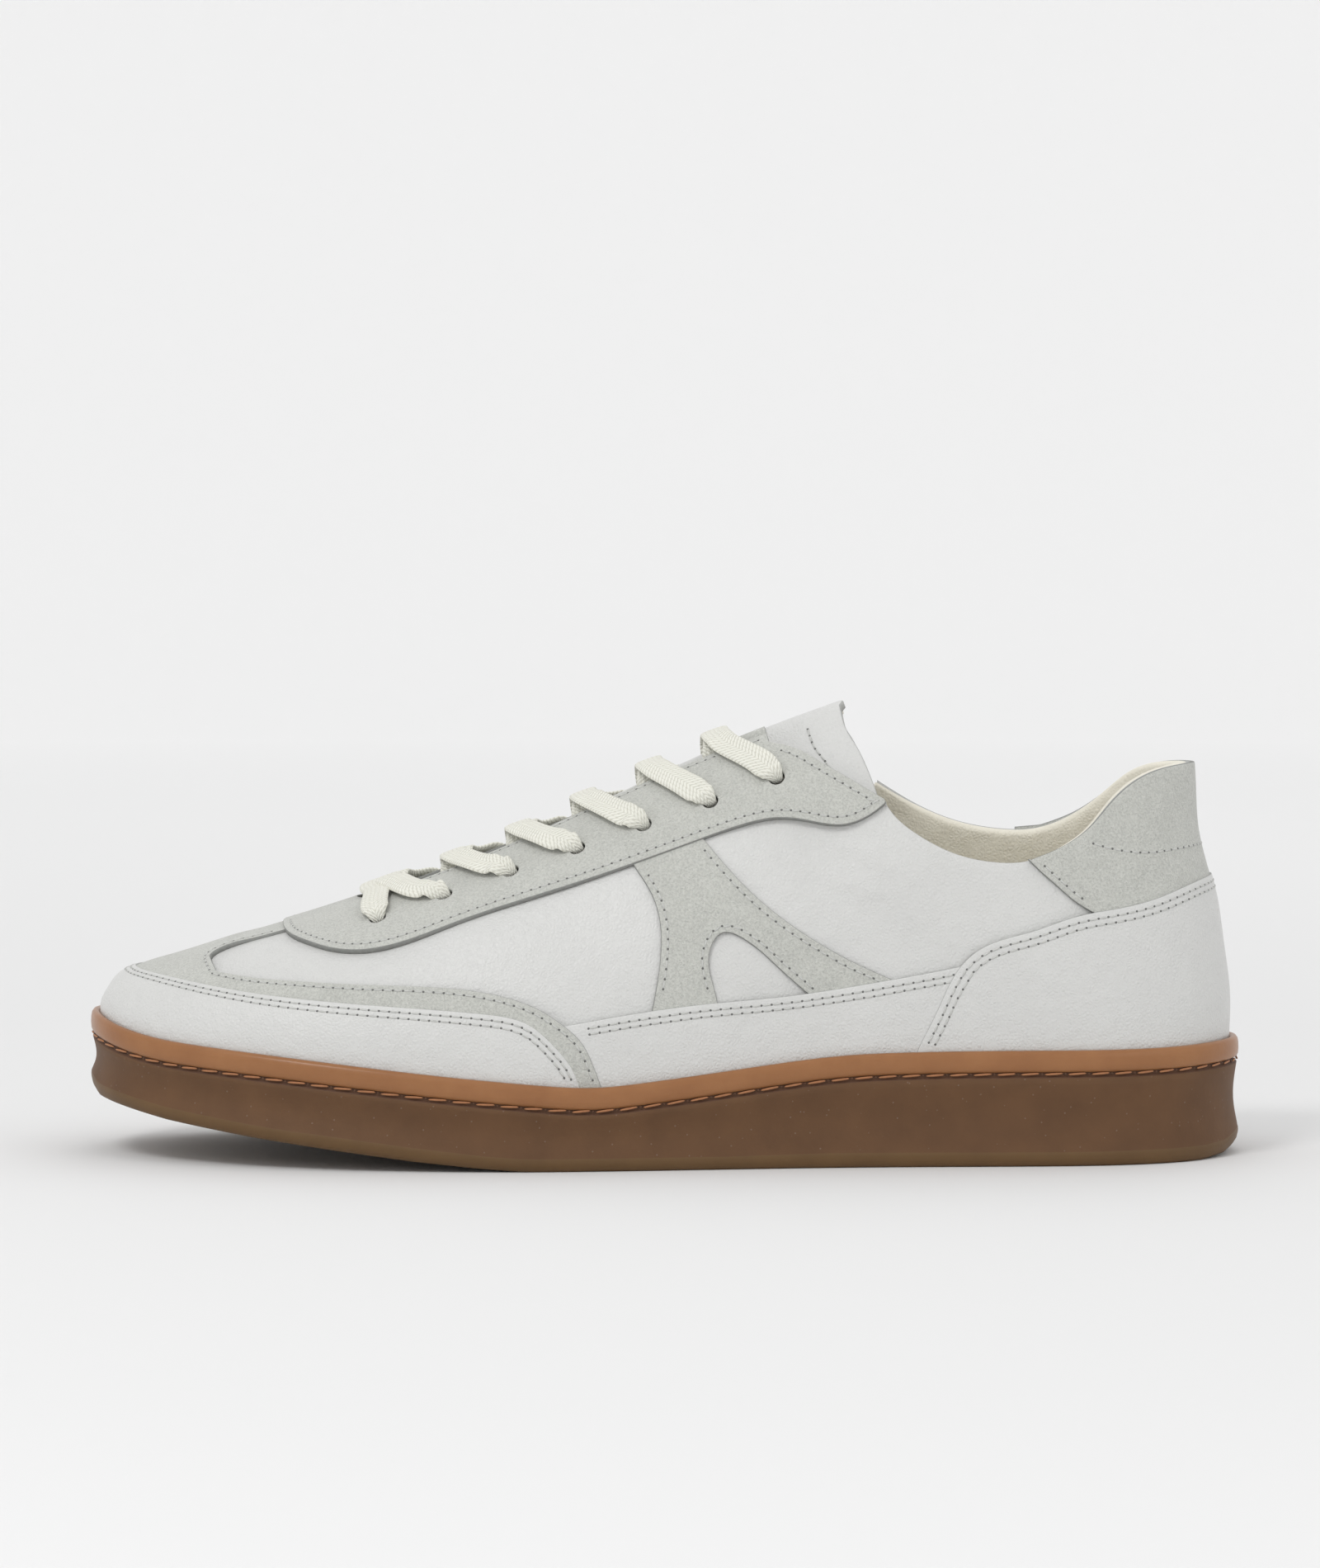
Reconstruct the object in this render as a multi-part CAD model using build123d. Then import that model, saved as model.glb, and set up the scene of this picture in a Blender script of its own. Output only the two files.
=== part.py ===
from build123d import *
import os
from math import hypot, pi

import numpy as np

# Low-cut leather court shoe for a left foot, in millimetres.
# The toe points to -X, the outer (lateral) side faces -Y, and Z = 0 is the ground.
# Sheet pieces of the upper are nested layers. Each layer's place is its depth inward from the
# upper's outermost surface, so two layers never share a face.

# ---- driving dimensions ----
TOE_X = -145.7            # foremost point where the upper enters the sole
HEEL_X = 146.8            # rearmost point where the upper enters the sole
RIM_OUT = 2.6             # how far the sole's rim stands outside the upper
RIM_GAP = 0.15            # glue line between the upper and the sole's cup
LASTING = 5.0             # depth of the upper inside the cup
GAP = 0.22                # gap between two pieces that lie edge to edge
SPLIT_X = 4.0             # seam between the vamp and the quarters
PADDING_X = 64.0          # front end of the padded collar

# depth and thickness of each layer of the upper
OVERLAY = (0.0, 1.1)
BASE = (1.2, 1.0)
STIFFENER = (2.3, 0.45)   # toe puff and eyelet stays
LINING = (2.85, 0.65)
COUNTER = (2.3, 2.0)
COLLAR_FOAM = (2.3, 2.7)
COLLAR_LINING = (5.1, 0.8)
TONGUE_FACE = 1.0
TONGUE_FOAM = 2.8
TONGUE_LINING = 0.7
LAYER_STEP = 0.1
TONGUE_EDGE_DEPTH = 5.9   # depth of the tongue's wings, under the eyestay and the lace
TONGUE_CROWN_DEPTH = 2.15  # depth of its padded middle, which swells up between the eyestay's edges
TONGUE_REAR_X = 55.1

# plan outline of the upper at the sole: distance from the X axis on each side, heel to toe
LATERAL = [(146.8, 0), (141, 17), (129, 28), (111, 34), (80, 36.5), (45, 38.5), (10, 43), (-25, 47.5),
           (-55, 48.5), (-82, 46.3), (-106, 39.5), (-125, 29.5), (-138, 17.5), (-145.7, -7)]
MEDIAL = [(146.8, 0), (141, 17), (129, 28), (111, 33), (80, 33.5), (45, 32.5), (10, 35.5), (-25, 43),
          (-58, 48), (-85, 47.8), (-108, 43.5), (-126, 37), (-139, 27), (-145.7, 7)]
# centre line of the forefoot in plan, which drifts inward towards the toe
CENTRE = [(-145.7, 7), (-120, 6), (-90, 5), (-50, 3.5), (0, 2), (50, 0.8), (147, 0)]
# height of the upper's top line, the sole's rim, and the forward lean of the heel's back
RIDGE = [(-145.7, 36.5), (-145.4, 38.3), (-144.5, 40.6), (-142.4, 43.8), (-138.5, 46.6), (-134, 48.4),
         (-128.6, 50),
         (-112, 55.2), (-95, 60.4), (-80, 65.2), (-64, 71), (-43, 79.6), (-30, 85.6), (-17, 92),
         (0, 100.2), (21, 109.5), (45, 118.5), (80, 130), (147, 150)]
RIM = [(-145.7, 36.5), (-138.6, 34.2), (-127, 31.7), (-115, 30.4), (-94, 28.4), (-72, 26), (-52, 23.8),
       (-31, 21.8), (-17, 21.1), (-7, 21.9), (10, 24), (31, 26.8), (46, 28.4), (63, 29.1), (95, 29.4),
       (125, 29.5), (146.8, 30.2)]
HEEL_LEAN = [(30, 0), (41, 0.2), (54, -1.4), (67, -3.4), (76, -5.8), (84, -7.6), (95, -8.3), (103, -8.8),
             (130, -10)]
ARCH_POWER = [(-144.5, 2.3), (-110, 2.2), (-60, 2), (0, 1.9), (60, 1.9), (145, 2)]
# underside of the sole, with the toe spring
TREAD = [(-149.6, 19.6), (-148.6, 17.4), (-145, 15), (-126, 11.2), (-104, 8), (-83, 5.3), (-62, 2.6),
         (-46, 0.9), (-34, 0)]


# ---- curves ----
def spline(points):
    """Natural cubic through (x, y) points, straight beyond its ends."""
    p = np.array(sorted(points), float)
    x, y = p[:, 0], p[:, 1]
    n, h = len(x), np.diff(x)
    a, r = np.eye(n), np.zeros(n)
    for i in range(1, n - 1):
        a[i, i - 1:i + 2] = h[i - 1], 2 * (h[i - 1] + h[i]), h[i]
        r[i] = 6 * ((y[i + 1] - y[i]) / h[i] - (y[i] - y[i - 1]) / h[i - 1])
    m = np.linalg.solve(a, r)
    first = (y[1] - y[0]) / h[0] - h[0] * m[1] / 6
    last = (y[-1] - y[-2]) / h[-1] + h[-1] * m[-2] / 6

    def value(q):
        q = np.asarray(q, float)
        c = np.clip(q, x[0], x[-1])
        i = np.clip(np.searchsorted(x, c, side="right") - 1, 0, n - 2)
        left, right, w = c - x[i], x[i + 1] - c, h[i]
        inside = (m[i] * right**3 + m[i + 1] * left**3) / (6 * w)
        inside = inside + (y[i] / w - m[i] * w / 6) * right + (y[i + 1] / w - m[i + 1] * w / 6) * left
        return inside + np.minimum(q - x[0], 0) * first + np.maximum(q - x[-1], 0) * last

    return value


def turn(x):
    """Plan position as a turn from 0 at the heel's back to 1 at the toe's tip."""
    return np.arccos(np.clip(1 - 2 * (HEEL_X - np.asarray(x, float)) / (HEEL_X - TOE_X), -1, 1)) / pi


def smooth(x, a, b):
    t = np.clip((x - a) / (b - a), 0, 1)
    return t * t * (3 - 2 * t)


lateral_width = spline([(float(turn(x)), w) for x, w in LATERAL])
medial_width = spline([(float(turn(x)), w) for x, w in MEDIAL])
centre, ridge, rim = spline(CENTRE), spline(RIDGE), spline(RIM)
heel_lean, arch_power = spline(HEEL_LEAN), spline(ARCH_POWER)


def side_y(x, z, side):
    """Y of the upper's outermost surface at (x, z): side -1 is lateral, +1 medial."""
    xe = np.clip(x - heel_lean(z) * smooth(x, 40, 135), TOE_X, HEEL_X)
    t = turn(xe)
    width = np.where(side < 0, -lateral_width(t), medial_width(t))
    low, high = rim(xe), ridge(x)
    rise = np.clip((z - low) / np.maximum(high - low, 1e-6), 0, 1)
    return centre(xe) + (width - centre(xe)) * np.sqrt(np.clip(1 - rise ** arch_power(xe), 0, 1))


ridge_x = np.linspace(TOE_X, HEEL_X - 2, 3000)
ridge_top = np.maximum.accumulate(ridge(ridge_x))

# ---- two charts of that surface ----
FAN_X, FAN_Z = -70.0, -10.0             # the forefoot's arches lie in planes that fan out from here
FAN_LOW = 12.0                          # height where each arch starts
FAN_TOE = (153.5, 137.5, 2.0)           # degrees, first and last plane round the toe, and the step
FAN_TOP = (134.5, 38.5, 3.0)            # the same, on to the top of the tongue


def fan_reach(phi):
    """Distance from the fan's axis to the ridge, along each plane."""
    angle = np.arctan2(ridge_top - FAN_Z, ridge_x - FAN_X)
    reach = np.interp(-phi, -angle, np.hypot(ridge_top - FAN_Z, ridge_x - FAN_X))
    for _ in range(4):
        x = FAN_X + reach * np.cos(phi)
        error = ridge(x) - FAN_Z - reach * np.sin(phi)
        slope = (ridge(x + 1e-4) - ridge(x - 1e-4)) / 2e-4
        reach = reach - error / (slope * np.cos(phi) - np.sin(phi))
    return np.where(phi > angle[0], (TOE_X - FAN_X) / np.cos(phi), reach)


def front_point(u, phi):
    """u -1 lateral foot of the arch, 0 ridge, +1 medial foot; phi is the fan plane's angle."""
    low = (FAN_LOW - FAN_Z) / np.sin(phi)
    r = low + (fan_reach(phi) - low) * np.cos(pi / 2 * u)
    x, z = FAN_X + r * np.cos(phi), FAN_Z + r * np.sin(phi)
    return np.stack([x, side_y(x, z, np.sign(u)), z], -1)


def rear_point(u, z):
    """u 0 is the heel's back, -1 the ridge by the lateral side, +1 by the medial side."""
    back = HEEL_X + heel_lean(z)
    x = back + (np.interp(z, ridge_top, ridge_x) - back) * (1 - np.cos(pi * u)) / 2
    return np.stack([x, side_y(x, z, np.sign(u)), z + 0 * u], -1)


def normals(chart, u, v, du, dv):
    """Unit normals that point out of the shoe."""
    across = chart(u + du, v) - chart(u - du, v)
    along = chart(u, v + dv) - chart(u, v - dv)
    n = np.cross(across, along)
    n /= np.linalg.norm(n, axis=-1, keepdims=True)
    return n


def chart_face(chart, us, vs, depth, step):
    """A smooth face through the chart's points, moved inward by a depth in mm or by depth(points)."""
    u, v = np.meshgrid(us, vs, indexing="ij")
    points, outward = chart(u, v), normals(chart, u, v, *step)
    depths = depth(points)[..., None] if callable(depth) else depth
    moved = points - outward * depths
    shares = list(np.linspace(0, 1, len(us)))
    lines = [Wire([Edge.make_spline([Vector(*p) for p in row], parameters=shares)])
             for row in moved.transpose(1, 0, 2)]
    return Shell.make_loft(lines).faces()[0]


FAN_PLANES = np.radians(np.concatenate([np.arange(FAN_TOE[0], FAN_TOE[1] - 0.1, -FAN_TOE[2]),
                                        np.arange(FAN_TOP[0], FAN_TOP[1] - 0.1, -FAN_TOP[2])]))
ACROSS = np.linspace(-0.999, 0.9992, 41)      # no row falls exactly on the ridge, where the sides meet
LEVELS = np.arange(14, 110, 3.0)
AROUND = np.linspace(-0.93, 0.9301, 61)
FRONT = (front_point, ACROSS, FAN_PLANES, (0.01, 0.005))
REAR = (rear_point, AROUND, LEVELS, (0.01, 0.1))


def slab(chart, depth, thickness):
    """The closed sheet between two depths: outer and inner faces joined by four rim faces."""
    point, us, vs, step = chart
    if callable(depth):
        outer, inner = depth, lambda p: depth(p) + thickness
    else:
        outer, inner = depth, depth + thickness
    out_face, in_face = chart_face(point, us, vs, outer, step), chart_face(point, us, vs, inner, step)
    faces = [out_face, in_face]
    for edge in out_face.edges():
        middle = edge.position_at(0.5)
        match = min(in_face.edges(), key=lambda other: (other.position_at(0.5) - middle).length)
        faces.append(Face.make_surface_from_curves(edge, match))
    return Solid(Shell(faces))


# ---- regions that cut panels out of a sheet ----
FAR = 90.0                # past the shoe on every side
LATERAL_SIDE, MEDIAL_SIDE, BOTH_SIDES = (-FAR, 0), (0, FAR), (-FAR, FAR)


def outline(strokes, place):
    """A closed outline of strokes: two points are a straight stroke, more are a smooth one."""
    edges, last = [], None
    for stroke in strokes:
        points = [Vector(*place(*p)) for p in stroke]
        if last is not None and (points[0] - last).length > 1e-6:
            edges.append(Edge.make_line(last, points[0]))
        if len(points) == 2:
            edges.append(Edge.make_line(*points))
        elif len(points) > 2:
            edges.append(Edge.make_spline(points))
        last = points[-1]
    first = Vector(*place(*strokes[0][0]))
    if (first - last).length > 1e-6:
        edges.append(Edge.make_line(last, first))
    return Face(Wire(edges))


def side_region(strokes, sides=BOTH_SIDES):
    """Everything whose side view lies inside an (x, z) outline, between two y planes."""
    face = outline(strokes, lambda x, z: (x, sides[0], z))
    return Solid.extrude(face, Vector(0, sides[1] - sides[0], 0))


def plan_region(strokes, low=0.0, high=160.0):
    """Everything whose plan lies inside an (x, y) outline, between two heights."""
    face = outline(strokes, lambda x, y: (x, y, low))
    return Solid.extrude(face, Vector(0, 0, high - low))


def shifted(points, dx=0.0, dz=0.0):
    return [(x + dx, z + dz) for x, z in points]


def along(curve, x_from, x_to, offset=0.0, count=12):
    """Points on a height curve, for use in an outline."""
    return [(float(x), float(curve(x)) + offset) for x in np.linspace(x_from, x_to, count)]


def below(points, sides=BOTH_SIDES, dx=0.0, dz=0.0):
    """Everything under a curve that runs from left to right."""
    curve = shifted(points, dx, dz)
    floor = [(curve[-1][0], -20), (curve[0][0], -20)]
    return side_region([curve, floor], sides)


def cut(sheet, *keep, away=()):
    """A panel: what the sheet has inside every region of keep and outside every region of away."""
    for region in keep:
        sheet = sheet & region
    for region in away:
        sheet = sheet - region
    solids = sheet.solids()
    return max(solids, key=lambda solid: solid.volume)


# seams in side view, (x, z)
GUARD_TOP = [(-165, 50), (-137, 47.4), (-127, 46.4), (-104, 43.8), (-83, 42.1), (-62, 40.8), (-45, 39.5),
             (-33, 36.6), (-27, 31.5), (-22.9, 26.5), (-19.5, 16)]
BAND_TOP = [(-122, 49.2), (-113.7, 48.5), (-104.7, 47.6), (-93.8, 47.1), (-72.6, 46.5), (-51.6, 45.7),
            (-41.2, 44.1), (-30.8, 40.5), (-24.6, 36.5), (-20.4, 32.6), (-17.3, 26.8), (-13.5, 16)]
FOXING_TOP = [(-40, 34), (-24.6, 36.5), (-10.1, 38.9), (10.7, 41.6), (31.5, 43.4), (52.4, 46.4), (75.5, 50.6),
              (90, 53.5)]
HEEL_TOP = [(62, 14), (65, 30), (67.1, 34.2), (70.2, 40.5), (75.5, 50.4), (80.7, 55), (94.3, 59.5),
            (104.9, 63), (115.5, 64.9), (126.3, 67.3), (138, 71.1), (152, 73)]
TAB_FRONT = [(86, 85), (93, 77.6), (96.5, 74.2), (100.7, 70.5), (104.9, 66.9), (108, 64.9)]
STAY_LOW = [(-99.2, 66), (-98.6, 60.2), (-97.2, 58.6), (-94.6, 57.4), (-90.4, 56.2), (-85.9, 55.1),
            (-77.2, 54.5), (-66.6, 56.4), (-52, 61.6), (-20.6, 71.8), (10.8, 82.8), (21.3, 86.3), (29, 87.8),
            (37, 87.2), (46.4, 86.2), (52.7, 88.5), (57, 91.6)]
STAY_TOP = [(57, 92.4), (48.6, 97.3), (40.3, 102), (33, 105.8), (27, 108), (20, 125)]
TOPLINE = [(56.5, 92.8), (59, 89.1), (63.1, 85.4), (68.3, 82.1), (73.5, 79.6), (84, 77.1), (93, 77.3),
           (101.4, 80.6), (108.9, 85.6), (114.7, 91.9), (122.4, 97.8), (130.8, 100.4), (150, 101)]
MEDIAL_TOPLINE = [(56.5, 95.5), (65.5, 89.8), (76.5, 84.8), (87.5, 82.4), (98.4, 82.4), (109.2, 86.6),
                  (117.6, 92.6), (125.9, 98.6), (133, 100.4), (150, 101)]
OVERLAY_FRONT = [(-9, 79), (-7, 76), (-2.8, 69.6), (-0.3, 61.5), (-0.1, 55.4), (-0.7, 49.3), (-2.8, 38)]
OVERLAY_NOTCH = [(15, 38), (13.2, 46.1), (12.1, 54.3), (15.3, 59.4), (21.1, 57.7), (29.5, 50.7), (43, 38)]
OVERLAY_REAR = [(68, 43), (58.3, 47.4), (48.3, 52), (35.8, 59.3), (23.3, 69), (14.9, 77.8), (8, 86)]
TONGUE_TOP = [(42, 125), (44.9, 115.6), (48, 110.2), (51.9, 102.9), (54.1, 97.3), (TONGUE_REAR_X, 92),
              (55, 86)]
TONGUE_WING = [(55, 86), (29.3, 90), (-4.3, 79.5), (-38, 67.5), (-72.4, 55.5), (-82, 52)]
THROAT_FRONT_X, THROAT_HALF = -79.0, 11.5
STEM_EDGE = [(-92, 13.6), (-101.7, 14), (-110, 13.5), (-114.5, 15), (-116.5, 21), (-116.8, 30)]

EYELETS = 7
EYELET_FIRST, EYELET_LAST = (-72.4, 61.8), (29.3, 97.8)
EYELET_R = 2.1


def eyelet(row, side):
    """Centre of an eyelet on the outermost surface, rows 0 to 6, and the outward normal there."""
    share = row / (EYELETS - 1)
    x, z = (a + (b - a) * share for a, b in zip(EYELET_FIRST, EYELET_LAST))
    y = float(side_y(x, z, side))
    return np.array([x, y, z]), top_normal(x, y)


def top_z(x, y):
    """Height of the outermost surface over a plan position in the forefoot."""
    t, c = turn(x), centre(x)
    width = np.where(y < c, -lateral_width(t), medial_width(t))
    share = np.clip((y - c) / (width - c), 0, 1)
    return rim(x) + (ridge(x) - rim(x)) * (1 - share**2) ** (1 / arch_power(x))


def top_normal(x, y, step=0.1):
    n = np.array([-(top_z(x + step, y) - top_z(x - step, y)) / (2 * step),
                  -(top_z(x, y + step) - top_z(x, y - step)) / (2 * step), 1.0])
    return n / np.linalg.norm(n)


def side_normal(x, z, side, step=0.1):
    """Outward normal of the outermost surface on a side wall."""
    along_x = np.array([2 * step, side_y(x + step, z, side) - side_y(x - step, z, side), 0])
    along_z = np.array([0, side_y(x, z + step, side) - side_y(x, z - step, side), 2 * step])
    n = np.cross(along_x, along_z)
    return n / np.linalg.norm(n) * np.sign(n[1] * side)


def eyelet_drills():
    drills = []
    for side in (-1, 1):
        for row in range(EYELETS):
            at, n = eyelet(row, side)
            plane = Plane(origin=Vector(*(at + 4 * n)), z_dir=Vector(*(-n)))
            drills.append(Solid.make_cylinder(EYELET_R, 12, plane))
    return drills


def throat(extra=0.0):
    """The opening over the tongue, between the eyestay's two arms."""
    xs = np.linspace(THROAT_FRONT_X + 6, 70, 10)
    half = THROAT_HALF + extra
    one = [(float(x), float(centre(x)) - half) for x in xs]
    other = [(float(x), float(centre(x)) + half) for x in xs[::-1]]
    tip = (THROAT_FRONT_X - extra, float(centre(THROAT_FRONT_X)))
    nose = [other[-1], (tip[0] + 1.7, tip[1] + half * 0.7), tip, (tip[0] + 1.7, tip[1] - half * 0.7), one[0]]
    return plan_region([one, other, nose])


def margin(x_from, x_to):
    """Everything above the upper's lower edge, which is LASTING below the sole's rim."""
    low = along(rim, x_from, x_to, -LASTING, 24)
    return side_region([low, [(x_to, 150), (x_from, 150)]])


def stem_region():
    """Plan of the toe overlay: the whole toe in front, then the strip that runs back to the eyestay."""
    one = [(x, float(centre(x)) - w) for x, w in STEM_EDGE]
    other = [(x, float(centre(x)) + w) for x, w in STEM_EDGE[::-1]]
    return plan_region([one, [(-116.8, -FAR), (-160, -FAR)], [(-160, FAR), (-116.8, FAR)], other])


def write(name, shape):
    solids = shape.solids() if not isinstance(shape, list) else shape
    shape = solids[0] if len(solids) == 1 else Compound(children=list(solids))
    shape.label = name
    export_step(shape, f"parts/{name}.step")


# ---- the sole ----
def plan_outline(out, count=56):
    """The upper's plan outline as a closed face at z = 0, moved outward by a distance."""
    t = np.linspace(0, 1, 1500)
    x = HEEL_X + (TOE_X - HEEL_X) * (1 - np.cos(pi * t)) / 2
    x = np.concatenate([x, x[-2:0:-1]])
    y = np.concatenate([-lateral_width(t), medial_width(t)[-2:0:-1]])
    dx, dy = np.roll(x, -8) - np.roll(x, 8), np.roll(y, -8) - np.roll(y, 8)
    length = np.hypot(dx, dy)
    x, y = x - out * dy / length, y + out * dx / length
    run = np.concatenate([[0], np.cumsum(np.hypot(np.diff(x), np.diff(y)))])
    picks = np.searchsorted(run, np.linspace(0, run[-1], count, endpoint=False))
    return Face(Wire([Edge.make_spline([Vector(float(x[i]), float(y[i]), 0) for i in picks], periodic=True)]))


def column(out, low=-5.0, high=60.0):
    return Solid.extrude(plan_outline(out), Vector(0, 0, high - low)).moved(Location((0, 0, low)))


CUP_FLOOR = [(-160, 26), (-146, 22), (-126, 17.5), (-104, 13.8), (-83, 10.6), (-62, 8), (-34, 5.6), (0, 5),
             (160, 5)]
BOARD_DROP, BOARD_THICK = 5.5, 2.0
INSOLE_DROP, INSOLE_THICK, INSOLE_COVER = 5.2, 4.4, 0.8
INSOLE_IN = 7.6
GROOVE_DROP, GROOVE_WIDE, GROOVE_DEEP = 5.8, 1.6, 1.0
THREAD = 0.8
HEEL_ROUND = [(138, 0), (144.5, 0.9), (148.4, 4.2), (149.4, 9)]


def band(curve, low, high):
    """Everything between two offsets from a height curve, over the shoe's whole length."""
    bottom = along(curve, -158, 158, low, 36)
    top = along(curve, 158, -158, high, 36)
    return side_region([bottom, top])


def make_sole():
    outside = side_region([TREAD, [TREAD[-1], HEEL_ROUND[0]], HEEL_ROUND, [(155, 9), (155, float(rim(155)))],
                           along(rim, 155, -155, 0, 32), [(-155, float(rim(-155))), (-155, 19.6)]])
    cavity = column(RIM_GAP) & side_region([CUP_FLOOR, [(160, 70), (-160, 70)]])
    groove = band(rim, -GROOVE_DROP - GROOVE_WIDE / 2, -GROOVE_DROP + GROOVE_WIDE / 2)
    groove = groove & (column(RIM_OUT + 3) - column(RIM_OUT - GROOVE_DEEP))
    write("cupsole", (column(RIM_OUT) & outside) - cavity - groove)
    thread = column(RIM_OUT - 0.1) & band(rim, -GROOVE_DROP - THREAD / 2, -GROOVE_DROP + THREAD / 2)
    write("sidewall_thread", thread - column(RIM_OUT - 0.1 - THREAD))
    board_low = -BOARD_DROP - BOARD_THICK
    write("lasting_board", column(-0.4) & band(rim, board_low, -BOARD_DROP))
    filler = side_region([shifted(CUP_FLOOR, dz=0.1), along(rim, 158, -158, board_low - 0.1, 36)])
    write("midsole_filler", column(-0.4) & filler)
    write("footbed", column(-INSOLE_IN) & band(rim, -INSOLE_DROP, -INSOLE_DROP + INSOLE_THICK))
    cover = -INSOLE_DROP + INSOLE_THICK + 0.02
    write("footbed_cover", column(-INSOLE_IN) & band(rim, cover, cover + INSOLE_COVER))


# ---- the upper ----
def make_upper():
    overlay_front, overlay_rear = slab(FRONT, *OVERLAY), slab(REAR, *OVERLAY)
    base_front, base_rear = slab(FRONT, *BASE), slab(REAR, *BASE)
    drills, above_margin = eyelet_drills(), margin(-158, 158)
    stay_arm = side_region([STAY_LOW, STAY_TOP, [(-70, 125), (-99.2, 66)]])
    under_stay = side_region([shifted(STAY_LOW, dz=-GAP), [(57, 140), (-105, 140)]])
    foxing_gap, heel_gap = below(FOXING_TOP, dz=GAP), below(HEEL_TOP, dx=-GAP, dz=GAP)
    band_gap = below(BAND_TOP, dx=GAP)
    top_lateral = below([(-20, 150), (20, 125)] + STAY_TOP[-2::-1] + TOPLINE[1:], LATERAL_SIDE)
    top_medial = below([(-20, 150), (20, 125)] + STAY_TOP[-2::-1] + MEDIAL_TOPLINE[1:], MEDIAL_SIDE)

    write("toe_guard", cut(overlay_front, below(GUARD_TOP), above_margin))
    toe = cut(overlay_front, above_margin, below(BAND_TOP).fuse(stem_region()),
              away=[below(GUARD_TOP, dx=GAP, dz=GAP), side_region([STAY_LOW, [(57, 140), (-99.2, 140)]])])
    write("toe_overlay", toe)
    write("eyestay", cut(overlay_front, stay_arm, away=[throat()] + drills))
    vamp_area = side_region([[(-160, 0), (SPLIT_X - GAP, 0)], [(SPLIT_X - GAP, 140), (-160, 140)]])
    write("vamp", cut(base_front, vamp_area, above_margin, away=[throat()] + drills))
    quarter_area = side_region([[(SPLIT_X, 0), (160, 0)], [(160, 140), (SPLIT_X, 140)]])
    for name, top, edge in (("lateral", top_lateral, -GAP / 2), ("medial", top_medial, GAP / 2)):
        sides = (-FAR, edge) if edge < 0 else (edge, FAR)
        half_space = side_region([[(-200, -10), (200, -10)], [(200, 170), (-200, 170)]], sides)
        quarter = cut(base_rear, quarter_area, half_space, top, above_margin, away=[throat()] + drills)
        write(f"quarter_{name}", quarter)
        foxing = cut(overlay_rear, half_space, below(FOXING_TOP), above_margin, away=[band_gap, heel_gap])
        write(f"side_foxing_{name}", foxing)
        fork = side_region([OVERLAY_FRONT, OVERLAY_NOTCH, OVERLAY_REAR], sides)
        write(f"side_overlay_{name}", cut(overlay_rear, fork, away=[foxing_gap, under_stay]))
    write("heel_foxing", cut(overlay_rear, below(HEEL_TOP), above_margin))
    tab_area = side_region([TAB_FRONT, [(150, 60), (150, 110), (86, 110)]])
    tab = cut(overlay_rear, tab_area, top_lateral.fuse(top_medial), away=[heel_gap])
    write("heel_tab", tab)


def make_inside():
    drills, above_margin = eyelet_drills(), margin(-158, 158)
    lining_front, lining_rear = slab(FRONT, *LINING), slab(REAR, *LINING)
    inner_top_l = below([(-20, 150), (20, 124)] + shifted(STAY_TOP[-2::-1] + TOPLINE[1:], dz=-1),
                        LATERAL_SIDE)
    inner_top_m = below([(-20, 150), (20, 124)] + shifted(STAY_TOP[-2::-1] + MEDIAL_TOPLINE[1:], dz=-1),
                        MEDIAL_SIDE)
    inner_top = inner_top_l.fuse(inner_top_m)
    toe_area = side_region([[(-141, 0), (SPLIT_X - GAP, 0)], [(SPLIT_X - GAP, 140), (-141, 140)]])
    write("vamp_lining", cut(lining_front, toe_area, above_margin, away=[throat()] + drills))
    puff = side_region([[(-141, 0), (-108, 0)], [(-108, 140), (-141, 140)]])
    write("toe_puff", cut(slab(FRONT, *STIFFENER), puff, above_margin))
    arm_low = [EYELET_FIRST[0] - 3, EYELET_FIRST[1] - 6.5], [EYELET_LAST[0], EYELET_LAST[1] - 5.5]
    arm_high = [EYELET_LAST[0] + 3, EYELET_LAST[1] + 6.5], [EYELET_FIRST[0], EYELET_FIRST[1] + 5.5]
    for name, sides in (("lateral", (-FAR, -GAP)), ("medial", (GAP, FAR))):
        arm = side_region([arm_low, arm_high], sides)
        write(f"eyelet_stay_{name}", cut(slab(FRONT, *STIFFENER), arm, away=[throat(1.0)] + drills))
        middle = [[(SPLIT_X, 0), (PADDING_X - GAP, 0)], [(PADDING_X - GAP, 140), (SPLIT_X, 140)]]
        area = side_region(middle, sides)
        write(f"quarter_lining_{name}",
              cut(lining_rear, area, inner_top, above_margin, away=[throat()] + drills))
    padded = side_region([[(PADDING_X, 0), (160, 0)], [(160, 140), (PADDING_X, 140)]])
    write("collar_lining", cut(slab(REAR, *COLLAR_LINING), padded, inner_top, above_margin))
    foam_low = [(PADDING_X, 68), (84, 64), (150, 64)]
    foam = side_region([foam_low, [(150, 140), (PADDING_X, 140)]])
    write("collar_foam", cut(slab(REAR, *COLLAR_FOAM), foam, inner_top))
    counter = below([(82, 20), (84, 42), (92, 54), (106, 58), (150, 60)])
    write("heel_counter", cut(slab(REAR, *COUNTER), counter, above_margin))


# ---- the tongue ----
def tongue_depth(points):
    """The tongue lies deep under the eyestay and swells up in the middle."""
    off_centre = np.abs(points[..., 1] - centre(points[..., 0]))
    crown = (1 - smooth(off_centre, 2.5, 8)) * smooth(points[..., 0], THROAT_FRONT_X + 3, THROAT_FRONT_X + 17)
    return TONGUE_EDGE_DEPTH - (TONGUE_EDGE_DEPTH - TONGUE_CROWN_DEPTH) * crown


def tongue_layer(extra):
    return lambda points: tongue_depth(points) + extra


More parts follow.
